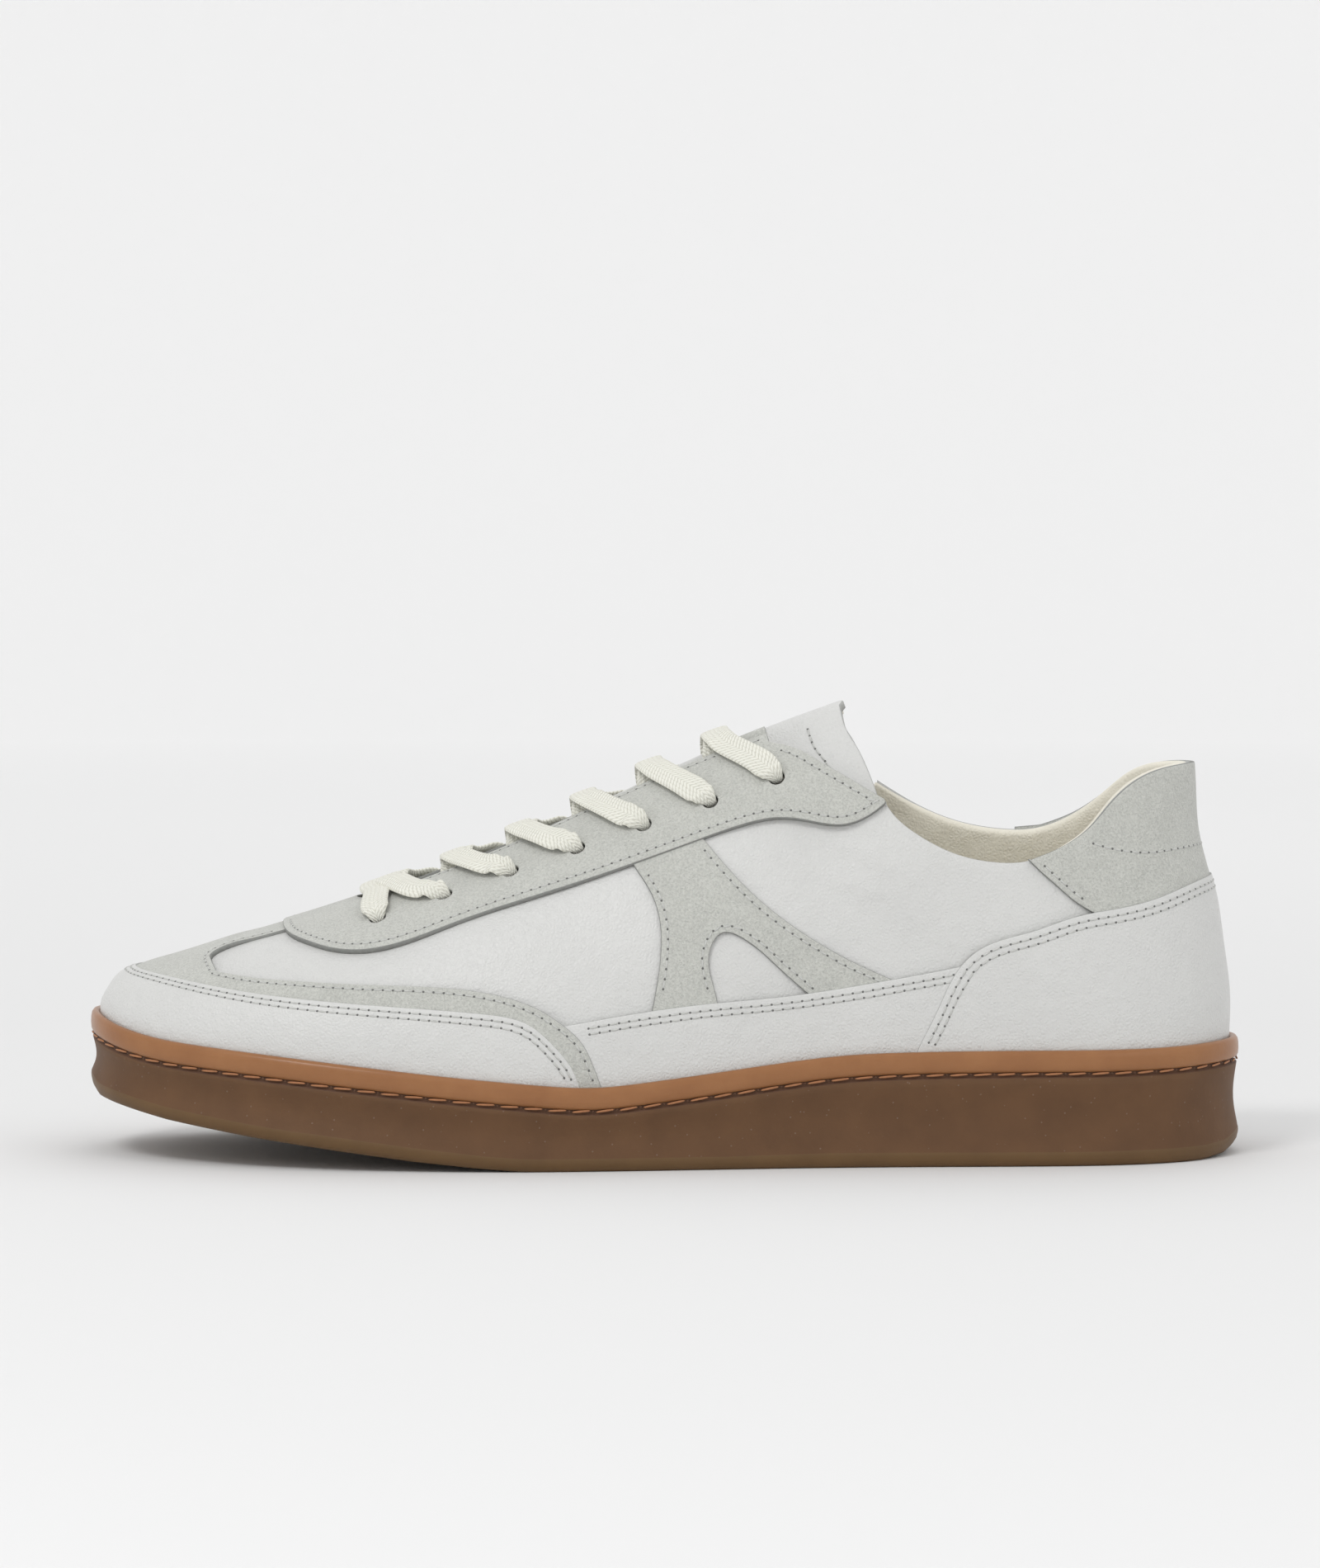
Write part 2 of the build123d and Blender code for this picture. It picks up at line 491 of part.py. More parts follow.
def make_tongue():
    area = side_region([TONGUE_TOP, TONGUE_WING, [(-82, 52), (-82, 125)]])
    inset = side_region([shifted(TONGUE_TOP[:-1], dx=-4), shifted(TONGUE_WING[:-1], -4, 3),
                         [(-78, 58), (-78, 125)]])
    write("tongue", cut(slab(FRONT, tongue_layer(0.0), TONGUE_FACE), area))
    depth = TONGUE_FACE + LAYER_STEP
    write("tongue_foam", cut(slab(FRONT, tongue_layer(depth), TONGUE_FOAM), inset))
    depth += TONGUE_FOAM + LAYER_STEP
    write("tongue_lining", cut(slab(FRONT, tongue_layer(depth), TONGUE_LINING), area))
    label = plan_region([[(12, -4), (26, -4)], [(26, 7), (12, 7)]])
    write("tongue_label", cut(slab(FRONT, tongue_layer(-0.45), 0.35), label))


# ---- the lace: one flat band from tail to tail ----
LACE_WIDE, LACE_THICK = 6.0, 1.05
LACE_IN_HOLE = 2.3
RIDE = -0.8               # depth of the band's middle where it lies on the eyestay
TUCK = 4.35               # depth of its middle under the eyestay
CROSS_LOW, CROSS_HIGH = 0.3, -0.95     # depths of the two strands where they cross over the tongue
TAIL_PATH = [(37.5, 93, 5.0, 0.0), (43, 88.5, 4.6, 0.1), (48, 82.5, 3.6, 0.7), (51, 76.5, 2.4, 1.1),
             (52.3, 71, 1.4, 1.1), (53, 66, 1.4, 1.1), (53.6, 61, 1.4, 1.1), (54.1, 56.5, 1.4, 1.1)]
AGLET_R, AGLET_BORE, AGLET_LONG = 1.3, 1.0, 11.0


def on_top(x, off_centre, depth, wide=LACE_WIDE):
    """A station of the lace over or under the top surface: off_centre is y from the centre line."""
    y = float(centre(x)) + off_centre
    n = top_normal(x, y)
    return np.array([x, y, float(top_z(x, y))]) - depth * n, n, wide


def through_hole(row, side, depth, toward=0.0, wide=LACE_IN_HOLE):
    """A station on an eyelet's axis, or beside it towards the middle by a distance."""
    at, n = eyelet(row, side)
    inward = np.array([0.0, -side, 0.0])
    inward -= n * (inward @ n)
    inward /= np.linalg.norm(inward)
    return at - depth * n + toward * inward, n, wide


def dive(row, side):
    """From on top of the eyestay, down through an eyelet, and back under the edge."""
    return [through_hole(row, side, RIDE - 0.05, 6.5, LACE_WIDE),
            through_hole(row, side, RIDE - 0.2, 3.2, 4.4),
            through_hole(row, side, RIDE - 0.45, 1.2, 3.0), through_hole(row, side, 0.3, 0.0),
            through_hole(row, side, 2.0, 0.0), through_hole(row, side, 3.7, 0.2),
            through_hole(row, side, TUCK + 0.15, 1.8, 3.4), through_hole(row, side, TUCK, 5.0, 5.0)]


def crossing(row, side, depth):
    """From under one edge at a row, over the tongue, to the other edge on the way to the next row."""
    x0, x1 = eyelet(row, side)[0][0], eyelet(row + 1, -side)[0][0]
    step = x1 - x0
    return [on_top(x0 + 1.5, side * (THROAT_HALF + 0.5), TUCK - 0.1), on_top(x0 + 0.2 * step, side * 9, 2.9),
            on_top(x0 + 0.3 * step, side * 6, depth + 0.35), on_top(x0 + 0.42 * step, 0, depth),
            on_top(x0 + 0.56 * step, -side * 6, depth - 0.2),
            on_top(x0 + 0.7 * step, -side * 9.5, RIDE - 0.7),
            on_top(x0 + 0.8 * step, -side * (THROAT_HALF + 1), RIDE - 0.35)]


def tail(side):
    """From under eyelet 7 back and down along the inside of the quarter, deeper once past the tongue."""
    stations = []
    for x, z, wide, deeper in TAIL_PATH:
        n = side_normal(x, z, side)
        stations.append((np.array([x, float(side_y(x, z, side)), z]) - (TUCK + deeper) * n, n, wide))
    return stations


def strand(side):
    """Half the lace: from the bar's middle, into eyelet 1 on one side, and up to its tail."""
    stations = dive(0, side)
    for row in range(EYELETS - 1):
        here = side if row % 2 == 0 else -side
        stations += crossing(row, here, CROSS_LOW if side * (-1) ** row < 0 else CROSS_HIGH)
        stations += dive(row + 1, -here)
    last = side if (EYELETS - 1) % 2 == 0 else -side
    return stations[:-2] + tail(last)


def lace_stations():
    x0 = EYELET_FIRST[0]
    bar = [on_top(x0 - 1.5, 7.0, RIDE - 0.3), on_top(x0 - 1.8, 0.0, RIDE - 0.3),
           on_top(x0 - 1.5, -7.0, RIDE - 0.3)]
    return strand(1)[::-1] + bar + strand(-1)


def lace_frames(per_run=2):
    """Places, band directions and widths along the whole lace, on one smooth curve."""
    stations = lace_stations()
    at = np.array([s[0] for s in stations])
    wide = np.array([s[2] for s in stations])
    run = np.concatenate([[0], np.cumsum(np.linalg.norm(np.diff(at, axis=0), axis=1) ** 0.5)])
    fine = np.unique(np.concatenate([np.linspace(a, b, per_run, endpoint=False) for a, b in zip(run, run[1:])]
                                    + [run[-1:]]))
    curves = [spline(list(zip(run, at[:, k]))) for k in range(3)]
    place = np.stack([curve(fine) for curve in curves], -1)
    ahead = np.stack([curve(fine + 0.02) - curve(fine - 0.02) for curve in curves], -1)
    ahead /= np.linalg.norm(ahead, axis=1, keepdims=True)
    rise = (EYELET_LAST[1] - EYELET_FIRST[1]) / (EYELET_LAST[0] - EYELET_FIRST[0])
    across = np.tile(np.array([1, 0, rise]) / hypot(1, rise), (len(fine), 1))
    across -= ahead * (across * ahead).sum(1, keepdims=True)
    across /= np.linalg.norm(across, axis=1, keepdims=True)
    return place, ahead, across, np.interp(fine, run, wide)


def make_lace():
    place, ahead, across, wide = lace_frames()
    up = np.cross(ahead, across)
    sections = []
    for p, w, n, width in zip(place, across, up, wide):
        thick = LACE_THICK if width > 2 else 0.9
        corners = [p + w * width / 2 * a + n * thick / 2 * b for a, b in ((-1, -1), (1, -1), (1, 1), (-1, 1))]
        sections.append(Wire.make_polygon([Vector(*c) for c in corners], close=True))
    write("lace", Solid.make_loft(sections, ruled=True))
    for name, end, back in (("aglet_medial", 0, 1), ("aglet_lateral", -1, -1)):
        out = ahead[end] * -back
        base = Plane(origin=Vector(*(place[end] - out * AGLET_LONG * 0.75)), z_dir=Vector(*out))
        sleeve = Solid.make_cylinder(AGLET_R, AGLET_LONG, base)
        write(name, sleeve - Solid.make_cylinder(AGLET_BORE, AGLET_LONG, base))


def main():
    os.makedirs("parts", exist_ok=True)
    make_sole()
    make_upper()
    make_inside()
    make_tongue()
    make_lace()


main()
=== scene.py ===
import math

import bpy
import mathutils
import numpy as np
from mathutils.geometry import delaunay_2d_cdt
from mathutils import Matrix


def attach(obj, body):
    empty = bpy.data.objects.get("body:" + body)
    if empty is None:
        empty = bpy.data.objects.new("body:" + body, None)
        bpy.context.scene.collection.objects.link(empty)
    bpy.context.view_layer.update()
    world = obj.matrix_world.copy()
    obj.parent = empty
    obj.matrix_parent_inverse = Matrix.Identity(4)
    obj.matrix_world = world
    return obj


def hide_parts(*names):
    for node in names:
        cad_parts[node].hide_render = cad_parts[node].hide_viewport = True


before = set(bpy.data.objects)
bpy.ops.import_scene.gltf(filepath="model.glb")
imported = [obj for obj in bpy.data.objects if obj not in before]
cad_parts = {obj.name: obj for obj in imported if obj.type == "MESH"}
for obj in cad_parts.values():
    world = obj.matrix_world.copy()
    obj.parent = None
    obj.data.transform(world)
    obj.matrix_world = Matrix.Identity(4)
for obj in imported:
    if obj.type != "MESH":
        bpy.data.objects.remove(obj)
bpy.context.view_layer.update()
MM = 0.001

# ---- the shoe's driving curves, in millimetres, as the CAD model has them ----
TOE_X, HEEL_X = -145.7, 146.8
LATERAL = [(146.8, 0), (141, 17), (129, 28), (111, 34), (80, 36.5), (45, 38.5), (10, 43), (-25, 47.5),
           (-55, 48.5), (-82, 46.3), (-106, 39.5), (-125, 29.5), (-138, 17.5), (-145.7, -7)]
MEDIAL = [(146.8, 0), (141, 17), (129, 28), (111, 33), (80, 33.5), (45, 32.5), (10, 35.5), (-25, 43),
          (-58, 48), (-85, 47.8), (-108, 43.5), (-126, 37), (-139, 27), (-145.7, 7)]
CENTRE = [(-145.7, 7), (-120, 6), (-90, 5), (-50, 3.5), (0, 2), (50, 0.8), (147, 0)]
RIDGE = [(-145.7, 36.5), (-145.4, 38.3), (-144.5, 40.6), (-142.4, 43.8), (-138.5, 46.6), (-134, 48.4),
         (-128.6, 50), (-112, 55.2), (-95, 60.4), (-80, 65.2), (-64, 71), (-43, 79.6), (-30, 85.6), (-17, 92),
         (0, 100.2), (21, 109.5), (45, 118.5), (80, 130), (147, 150)]
RIM = [(-145.7, 36.5), (-138.6, 34.2), (-127, 31.7), (-115, 30.4), (-94, 28.4), (-72, 26), (-52, 23.8),
       (-31, 21.8), (-17, 21.1), (-7, 21.9), (10, 24), (31, 26.8), (46, 28.4), (63, 29.1), (95, 29.4),
       (125, 29.5), (146.8, 30.2)]
HEEL_LEAN = [(30, 0), (41, 0.2), (54, -1.4), (67, -3.4), (76, -5.8), (84, -7.6), (95, -8.3), (103, -8.8),
             (130, -10)]
ARCH_POWER = [(-144.5, 2.3), (-110, 2.2), (-60, 2), (0, 1.9), (60, 1.9), (145, 2)]
TREAD = [(-149.6, 19.6), (-148.6, 17.4), (-145, 15), (-126, 11.2), (-104, 8), (-83, 5.3), (-62, 2.6),
         (-46, 0.9), (-34, 0), (0, 0), (138, 0), (144.5, 0.9), (149.4, 3.2)]


def spline(points):
    """Natural cubic through (x, y) points, straight beyond its ends."""
    p = np.array(sorted(points), float)
    x, y = p[:, 0], p[:, 1]
    n, h = len(x), np.diff(x)
    a, r = np.eye(n), np.zeros(n)
    for i in range(1, n - 1):
        a[i, i - 1:i + 2] = h[i - 1], 2 * (h[i - 1] + h[i]), h[i]
        r[i] = 6 * ((y[i + 1] - y[i]) / h[i] - (y[i] - y[i - 1]) / h[i - 1])
    m = np.linalg.solve(a, r)
    first = (y[1] - y[0]) / h[0] - h[0] * m[1] / 6
    last = (y[-1] - y[-2]) / h[-1] + h[-1] * m[-2] / 6

    def value(q):
        q = np.asarray(q, float)
        c = np.clip(q, x[0], x[-1])
        i = np.clip(np.searchsorted(x, c, side="right") - 1, 0, n - 2)
        left, right, w = c - x[i], x[i + 1] - c, h[i]
        inside = (m[i] * right**3 + m[i + 1] * left**3) / (6 * w)
        inside = inside + (y[i] / w - m[i] * w / 6) * right + (y[i + 1] / w - m[i + 1] * w / 6) * left
        return inside + np.minimum(q - x[0], 0) * first + np.maximum(q - x[-1], 0) * last

    return value


def turn(x):
    return np.arccos(np.clip(1 - 2 * (HEEL_X - np.asarray(x, float)) / (HEEL_X - TOE_X), -1, 1)) / math.pi


def smooth(x, a, b):
    t = np.clip((x - a) / (b - a), 0, 1)
    return t * t * (3 - 2 * t)


def unit(vectors):
    return vectors / np.maximum(np.linalg.norm(vectors, axis=-1, keepdims=True), 1e-9)


def run_of(points, power=1):
    """Distance run along a line, from zero, with each step raised to a power."""
    return np.concatenate([[0], np.cumsum(np.linalg.norm(np.diff(points, axis=0), axis=1) ** power)])


lateral_width = spline([(float(turn(x)), w) for x, w in LATERAL])
medial_width = spline([(float(turn(x)), w) for x, w in MEDIAL])
centre, ridge, rim = spline(CENTRE), spline(RIDGE), spline(RIM)
heel_lean, arch_power = spline(HEEL_LEAN), spline(ARCH_POWER)


def tread(x):
    p = np.array(TREAD, float)
    return np.interp(x, p[:, 0], p[:, 1])


def side_y(x, z, side):
    """Y of the upper's outermost surface at (x, z): side -1 is lateral, +1 medial."""
    xe = np.clip(x - heel_lean(z) * smooth(x, 40, 135), TOE_X, HEEL_X)
    t = turn(xe)
    width = np.where(side < 0, -lateral_width(t), medial_width(t))
    low, high = rim(xe), ridge(x)
    rise = np.clip((z - low) / np.maximum(high - low, 1e-6), 0, 1)
    return centre(xe) + (width - centre(xe)) * np.sqrt(np.clip(1 - rise ** arch_power(xe), 0, 1))


def top_z(x, y):
    """Height of the outermost surface over a plan position in the forefoot."""
    t, c = turn(x), centre(x)
    width = np.where(y < c, -lateral_width(t), medial_width(t))
    share = np.clip((y - c) / (width - c), 0, 1)
    return rim(x) + (ridge(x) - rim(x)) * (1 - share**2) ** (1 / arch_power(x))


ridge_x = np.linspace(TOE_X, HEEL_X - 2, 3000)
ridge_top = np.maximum.accumulate(ridge(ridge_x))
FAN_X, FAN_Z, FAN_LOW = -70.0, -10.0, 12.0


def fan_reach(phi):
    """Distance from the fan's axis to the ridge, along each of the forefoot's fanned planes."""
    angle = np.arctan2(ridge_top - FAN_Z, ridge_x - FAN_X)
    reach = np.interp(-phi, -angle, np.hypot(ridge_top - FAN_Z, ridge_x - FAN_X))
    for _ in range(4):
        x = FAN_X + reach * np.cos(phi)
        error = ridge(x) - FAN_Z - reach * np.sin(phi)
        slope = (ridge(x + 1e-4) - ridge(x - 1e-4)) / 2e-4
        reach = reach - error / (slope * np.cos(phi) - np.sin(phi))
    return np.where(phi > angle[0], (TOE_X - FAN_X) / np.cos(phi), reach)


class Chart:
    """A flat map of the upper's surface, with coordinates close to millimetres."""

    def __init__(self, raw, find, scale, out):
        self.raw, self.find, self.scale, self.out = raw, find, np.array(scale, float), out

    def flat(self, x, z, side):
        """Flat coordinates of the surface point whose side view is (x, z)."""
        u, v = self.find(np.asarray(x, float), np.asarray(z, float), side)
        return np.stack([u, v], -1) * self.scale

    def point(self, q):
        u, v = q[..., 0] / self.scale[0], q[..., 1] / self.scale[1]
        return self.raw(u, v)

    def frame(self, q, step=0.25):
        """Surface points, and the two surface directions per flat millimetre, and outward normals."""
        a, b = np.array([step, 0.0]), np.array([0.0, step])
        across = (self.point(q + a) - self.point(q - a)) / (2 * step)
        along = (self.point(q + b) - self.point(q - b)) / (2 * step)
        return self.point(q), across, along, unit(np.cross(across, along))

    def lifted(self, q, depth):
        p, _, _, n = self.frame(q)
        return p - self.out * n * np.asarray(depth, float).reshape(-1, 1)

    def move(self, q, offset):
        """Flat points moved by offsets given in 3-D, along the surface."""
        _, a, b, _ = self.frame(q)
        aa, bb, ab = (a * a).sum(-1), (b * b).sum(-1), (a * b).sum(-1)
        pa, pb = (offset * a).sum(-1), (offset * b).sum(-1)
        det = np.maximum(aa * bb - ab * ab, 1e-6)
        return q + np.stack([(pa * bb - pb * ab) / det, (pb * aa - pa * ab) / det], -1)

    def inset(self, loop, distance, closed=True):
        """A flat line moved to its left by a true distance, along the surface."""
        p, _, _, n = self.frame(loop)
        ahead = np.roll(p, -1, 0) - np.roll(p, 1, 0)
        if not closed:
            ahead[0], ahead[-1] = p[1] - p[0], p[-1] - p[-2]
        return self.move(loop, unit(np.cross(n, ahead)) * distance)


def front_raw(u, phi):
    low = (FAN_LOW - FAN_Z) / np.sin(phi)
    r = low + (fan_reach(phi) - low) * np.cos(math.pi / 2 * np.clip(u, -0.9995, 0.9995))
    x, z = FAN_X + r * np.cos(phi), FAN_Z + r * np.sin(phi)
    return np.stack([x, side_y(x, z, np.sign(u)), z], -1)


def front_find(x, z, side):
    phi = np.arctan2(z - FAN_Z, x - FAN_X)
    low = (FAN_LOW - FAN_Z) / np.sin(phi)
    share = (np.hypot(z - FAN_Z, x - FAN_X) - low) / (fan_reach(phi) - low)
    return side * np.arccos(np.clip(share, 0, 1)) * 2 / math.pi, phi


def rear_raw(u, z):
    back = HEEL_X + heel_lean(z)
    x = back + (np.interp(z, ridge_top, ridge_x) - back) * (1 - np.cos(math.pi * u)) / 2
    return np.stack([x, side_y(x, z, np.sign(u)), z], -1)


def rear_find(x, z, side):
    back = HEEL_X + heel_lean(z)
    share = (back - x) / (back - np.interp(z, ridge_top, ridge_x))
    return side * np.arccos(np.clip(1 - 2 * share, -1, 1)) / math.pi, z


FRONT = Chart(front_raw, front_find, (75, -90), -1)
REAR = Chart(rear_raw, rear_find, (250, 1), 1)

# ---- seams in side view, (x, z) ----
GUARD_TOP = [(-137, 47.4), (-127, 46.4), (-104, 43.8), (-83, 42.1), (-62, 40.8), (-45, 39.5), (-33, 36.6),
             (-27, 31.5), (-22.9, 26.5), (-19.5, 17)]
BAND_TOP = [(-113.7, 48.5), (-104.7, 47.6), (-93.8, 47.1), (-72.6, 46.5), (-51.6, 45.7), (-41.2, 44.1),
            (-30.8, 40.5), (-24.6, 36.5), (-20.4, 32.6), (-17.3, 26.8), (-13.8, 17)]
STEM_EDGE = [(-116.2, 18.5), (-115.3, 15.8), (-113.4, 14.2), (-110, 13.4), (-101.7, 14), (-90, 14.6)]
FOXING_TOP = [(-34, 35), (-24.6, 36.5), (-10.1, 38.9), (10.7, 41.6), (31.5, 43.4), (52.4, 46.4), (75.5, 50.6),
              (82, 52)]
HEEL_TOP = [(62.5, 20), (65, 30), (67.1, 34.2), (70.2, 40.5), (75.5, 50.4), (80.7, 55), (94.3, 59.5),
            (104.9, 63), (115.5, 64.9), (126.3, 67.3), (138, 71.1), (143, 72.2)]
TAB_FRONT = [(93, 77.6), (96.5, 74.2), (100.7, 70.5), (104.9, 66.9), (108, 64.9)]
TAB_ROW = [(109.7, 81.4), (113.5, 80.3), (119.9, 79.1), (126.6, 78.9), (133.5, 79.6), (138.6, 80)]
STAY_LOW = [(-98.2, 59.3), (-97.2, 58.4), (-94.6, 57.2), (-90.4, 56.1), (-85.9, 55.1), (-77.2, 54.5),
            (-66.6, 56.4), (-52, 61.6), (-20.6, 71.8), (10.8, 82.8), (21.3, 86.3), (29, 87.8), (37, 87.2),
            (46.4, 86.2), (52.7, 88.5), (57, 91.6)]
STAY_TOP = [(57, 92.4), (48.6, 97.3), (40.3, 102), (34, 105.2), (27.5, 106.5)]
TOPLINE = [(56.5, 92.8), (59, 89.1), (63.1, 85.4), (68.3, 82.1), (73.5, 79.6), (84, 77.1), (93, 77.3),
           (101.4, 80.6), (108.9, 85.6), (114.7, 91.9), (122.4, 97.8), (130.8, 100.4), (138.2, 101)]
MEDIAL_TOPLINE = [(56.5, 95.5), (65.5, 89.8), (76.5, 84.8), (87.5, 82.4), (98.4, 82.4), (109.2, 86.6),
                  (117.6, 92.6), (125.9, 98.6), (133, 100.6), (138.2, 101)]
OVERLAY_FRONT = [(-9, 79), (-7, 76), (-2.8, 69.6), (-0.3, 61.5), (-0.1, 55.4), (-0.7, 49.3), (-2.8, 37.5)]
OVERLAY_NOTCH = [(15, 37.5), (13.2, 46.1), (12.1, 54.3), (15.3, 59.4), (21.1, 57.7), (29.5, 50.7), (43, 39)]
OVERLAY_REAR = [(66, 44), (58.3, 47.4), (48.3, 52), (35.8, 59.3), (23.3, 69), (14.9, 77.8), (8, 86)]
TONGUE_TOP = [(45.2, 117.8), (46.6, 112.6), (48.6, 109.4), (51.9, 102.9), (54.1, 97.3), (55.1, 92),
              (53.5, 88.5)]
TONGUE_WING = [(53.5, 88.5), (29.3, 90), (-4.3, 79.5), (-38, 67.5), (-72.4, 55.8), (-81, 53.5)]
THROAT_FRONT_X, THROAT_HALF = -79.0, 11.5
SPLIT_X = 4.0

SIDES = (("lateral", -1), ("medial", 1))
MEDIAL_TAB_FRONT = [(93, 82.3), (96.5, 76), (100.7, 71), (104.9, 67), (108, 64.9)]
TONGUE_ROW = [(36.6, 112.5), (38.3, 108.1), (41, 104.6), (43.8, 100.4)]
NOSE_LONG = 6
NOSE_X = THROAT_FRONT_X + NOSE_LONG
EYELET_ROWS, WIDER_HOLE = 7, 2.4
EYELET_FIRST, EYELET_LAST = (-72.4, 61.8), (29.3, 97.8)
ON_LINE = (0.01,)
COLLAR_FOOT_Z = 27
TONGUE_INSET = 0.9

# ---- depth of each piece's outer face below the surface, and its thickness ----
GUARD, STAY, VAMP, LINING, QUARTER = (-0.5, 1.75), (-0.3, 1.6), (1.3, 1.0), (2.85, 0.65), (1.35, 1.0)
OVERLAY, FOXING, HEEL, TAB = (0.35, 0.98), (-0.05, 1.4), (-0.4, 1.75), (0.15, 1.25)


def sampled(points, step=0.8):
    """A smooth line through 2-D points, sampled at even steps."""
    p = np.array(points, float)
    run = run_of(p)
    t = np.linspace(0, run[-1], max(int(run[-1] / step), 2))
    if len(p) == 2:
        return p[0] + (p[1] - p[0]) * (t / run[-1])[:, None]
    return np.stack([spline(list(zip(run, p[:, k])))(t) for k in (0, 1)], -1)


def seam(chart, points, side, dx=0.0, dz=0.0):
    """A side-view line laid on the surface, in flat coordinates."""
    p = sampled(points) + (dx, dz)
    return chart.flat(p[:, 0], p[:, 1], side)


def both(chart, points, dx=0.0, dz=0.0):
    """A side-view line laid on the lateral side and on the medial side."""
    return [seam(chart, points, side, dx, dz) for _, side in SIDES]


def on_plan(chart, x, off_centre, side):
    """A line given by x and distance from the centre line, laid on the top, in flat coordinates."""
    return chart.flat(x, top_z(x, centre(x) + off_centre), side)


def plan_x(t):
    """X at a share t of the half outline, evenly turned from the heel (0) to the toe (1)."""
    return HEEL_X + (TOE_X - HEEL_X) * (1 - np.cos(math.pi * t)) / 2


def margin(chart, x_from, x_to, side, drop=3.0, count=160):
    """The upper's lower edge, hidden behind the sole's rim."""
    t = np.linspace(turn(x_from), turn(x_to), count)
    x = plan_x(t)
    return chart.flat(x, rim(x) - drop, side)


def resampled(line, step, chart, closed):
    """A flat line with its points at even true distances."""
    q = np.concatenate([line, line[:1]]) if closed else line
    d = np.linalg.norm(np.diff(chart.point(q), axis=0), axis=1)
    keep = np.concatenate([[True], d > 1e-4])
    q = q[keep]
    run = np.concatenate([[0], np.cumsum(d[keep[1:]])])
    count = max(int(round(run[-1] / step)), 3)
    t = np.linspace(0, run[-1], count + 1)
    out = np.stack([np.interp(t, run, q[:, k]) for k in (0, 1)], -1)
    return out[:-1] if closed else out


def signed_area(loop):
    x, y = loop[:, 0], loop[:, 1]
    return 0.5 * np.sum(x * np.roll(y, -1) - np.roll(x, -1) * y)


def inside(points, loop):
    """Which points lie inside a closed flat loop."""
    x, y = points[:, 0][:, None], points[:, 1][:, None]
    x0, y0 = loop[:, 0][None], loop[:, 1][None]
    x1, y1 = np.roll(loop[:, 0], -1)[None], np.roll(loop[:, 1], -1)[None]
    crosses = ((y0 > y) != (y1 > y)) & (x < (x1 - x0) * (y - y0) / np.where(y1 == y0, 1e-12, y1 - y0) + x0)
    return crosses.sum(1) % 2 == 1


def nearest(points, line):
    """Distance from each point to the nearest point of a line."""
    out = np.empty(len(points))
    for k in range(0, len(points), 2000):
        d = points[k:k + 2000, None] - line[None]
        out[k:k + 2000] = np.sqrt((d * d).sum(-1).min(1))
    return out


def make_object(name, points, faces, materials, body, indices=None, uv=None):
    """A mesh piece from points in millimetres, riding on a body."""
    mesh = bpy.data.meshes.new(name)
    mesh.from_pydata((np.asarray(points) * MM).tolist(), [], [list(map(int, f)) for f in faces])
    for material in materials:
        mesh.materials.append(material)
    if indices is not None:
        mesh.polygons.foreach_set("material_index", np.asarray(indices, np.int32))
    if uv is not None:
        layer = mesh.uv_layers.new(name="UVMap")
        loops = np.empty(len(mesh.loops), np.int32)
        mesh.loops.foreach_get("vertex_index", loops)
        layer.data.foreach_set("uv", np.asarray(uv, np.float32)[loops].ravel())
    mesh.polygons.foreach_set("use_smooth", np.full(len(mesh.polygons), True))
    mesh.update()
    piece = bpy.data.objects.new(name, mesh)
    bpy.context.scene.collection.objects.link(piece)
    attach(piece, body)
    return piece


def ring_faces(rings, around):
    """Quads between closed rings of points that follow one another."""
    return [[k * around + i, k * around + (i + 1) % around, (k + 1) * around + (i + 1) % around,
             (k + 1) * around + i] for k in range(rings - 1) for i in range(around)]


def end_faces(rings, around):
    """The two ends of a tube of rings."""
    return [list(range(around))[::-1], [(rings - 1) * around + j for j in range(around)]]


def triangles_between(loops, dots):
    """Vertices and triangles that fill the outer loop around its holes."""
    flat_points = np.concatenate(loops + [dots])
    edges, start = [], 0
    for q in loops:
        edges += [(start + i, start + (i + 1) % len(q)) for i in range(len(q))]
        start += len(q)
    verts, _, tris, *_ = delaunay_2d_cdt([tuple(map(float, q)) for q in flat_points], edges, [], 0, 1e-7)
    verts, tris = np.array([tuple(v) for v in verts]), np.array(tris)
    middle = verts[tris].mean(1)
    keep = inside(middle, loops[0])
    for q in loops[1:]:
        keep &= ~inside(middle, q)
    tris = tris[keep]
    a, b, c = verts[tris[:, 0]], verts[tris[:, 1]], verts[tris[:, 2]]
    turn_sign = (b - a)[:, 0] * (c - a)[:, 1] - (b - a)[:, 1] * (c - a)[:, 0]
    tris[turn_sign < 0] = tris[turn_sign < 0][:, ::-1]
    return verts, tris


def grid_dots(loops, grid):
    """Evenly spread points between an outer loop and its holes."""
    low, high = loops[0].min(0), loops[0].max(0)
    gx, gy = np.meshgrid(np.arange(low[0], high[0], grid), np.arange(low[1], high[1], grid * 0.87))
    gx[1::2] += grid / 2
    dots = np.stack([gx.ravel(), gy.ravel()], -1)
    dots = dots[inside(dots, loops[0])]
    for q in loops[1:]:
        dots = dots[~inside(dots, q)]
    return dots[nearest(dots, np.concatenate(loops)) > grid * 0.45]


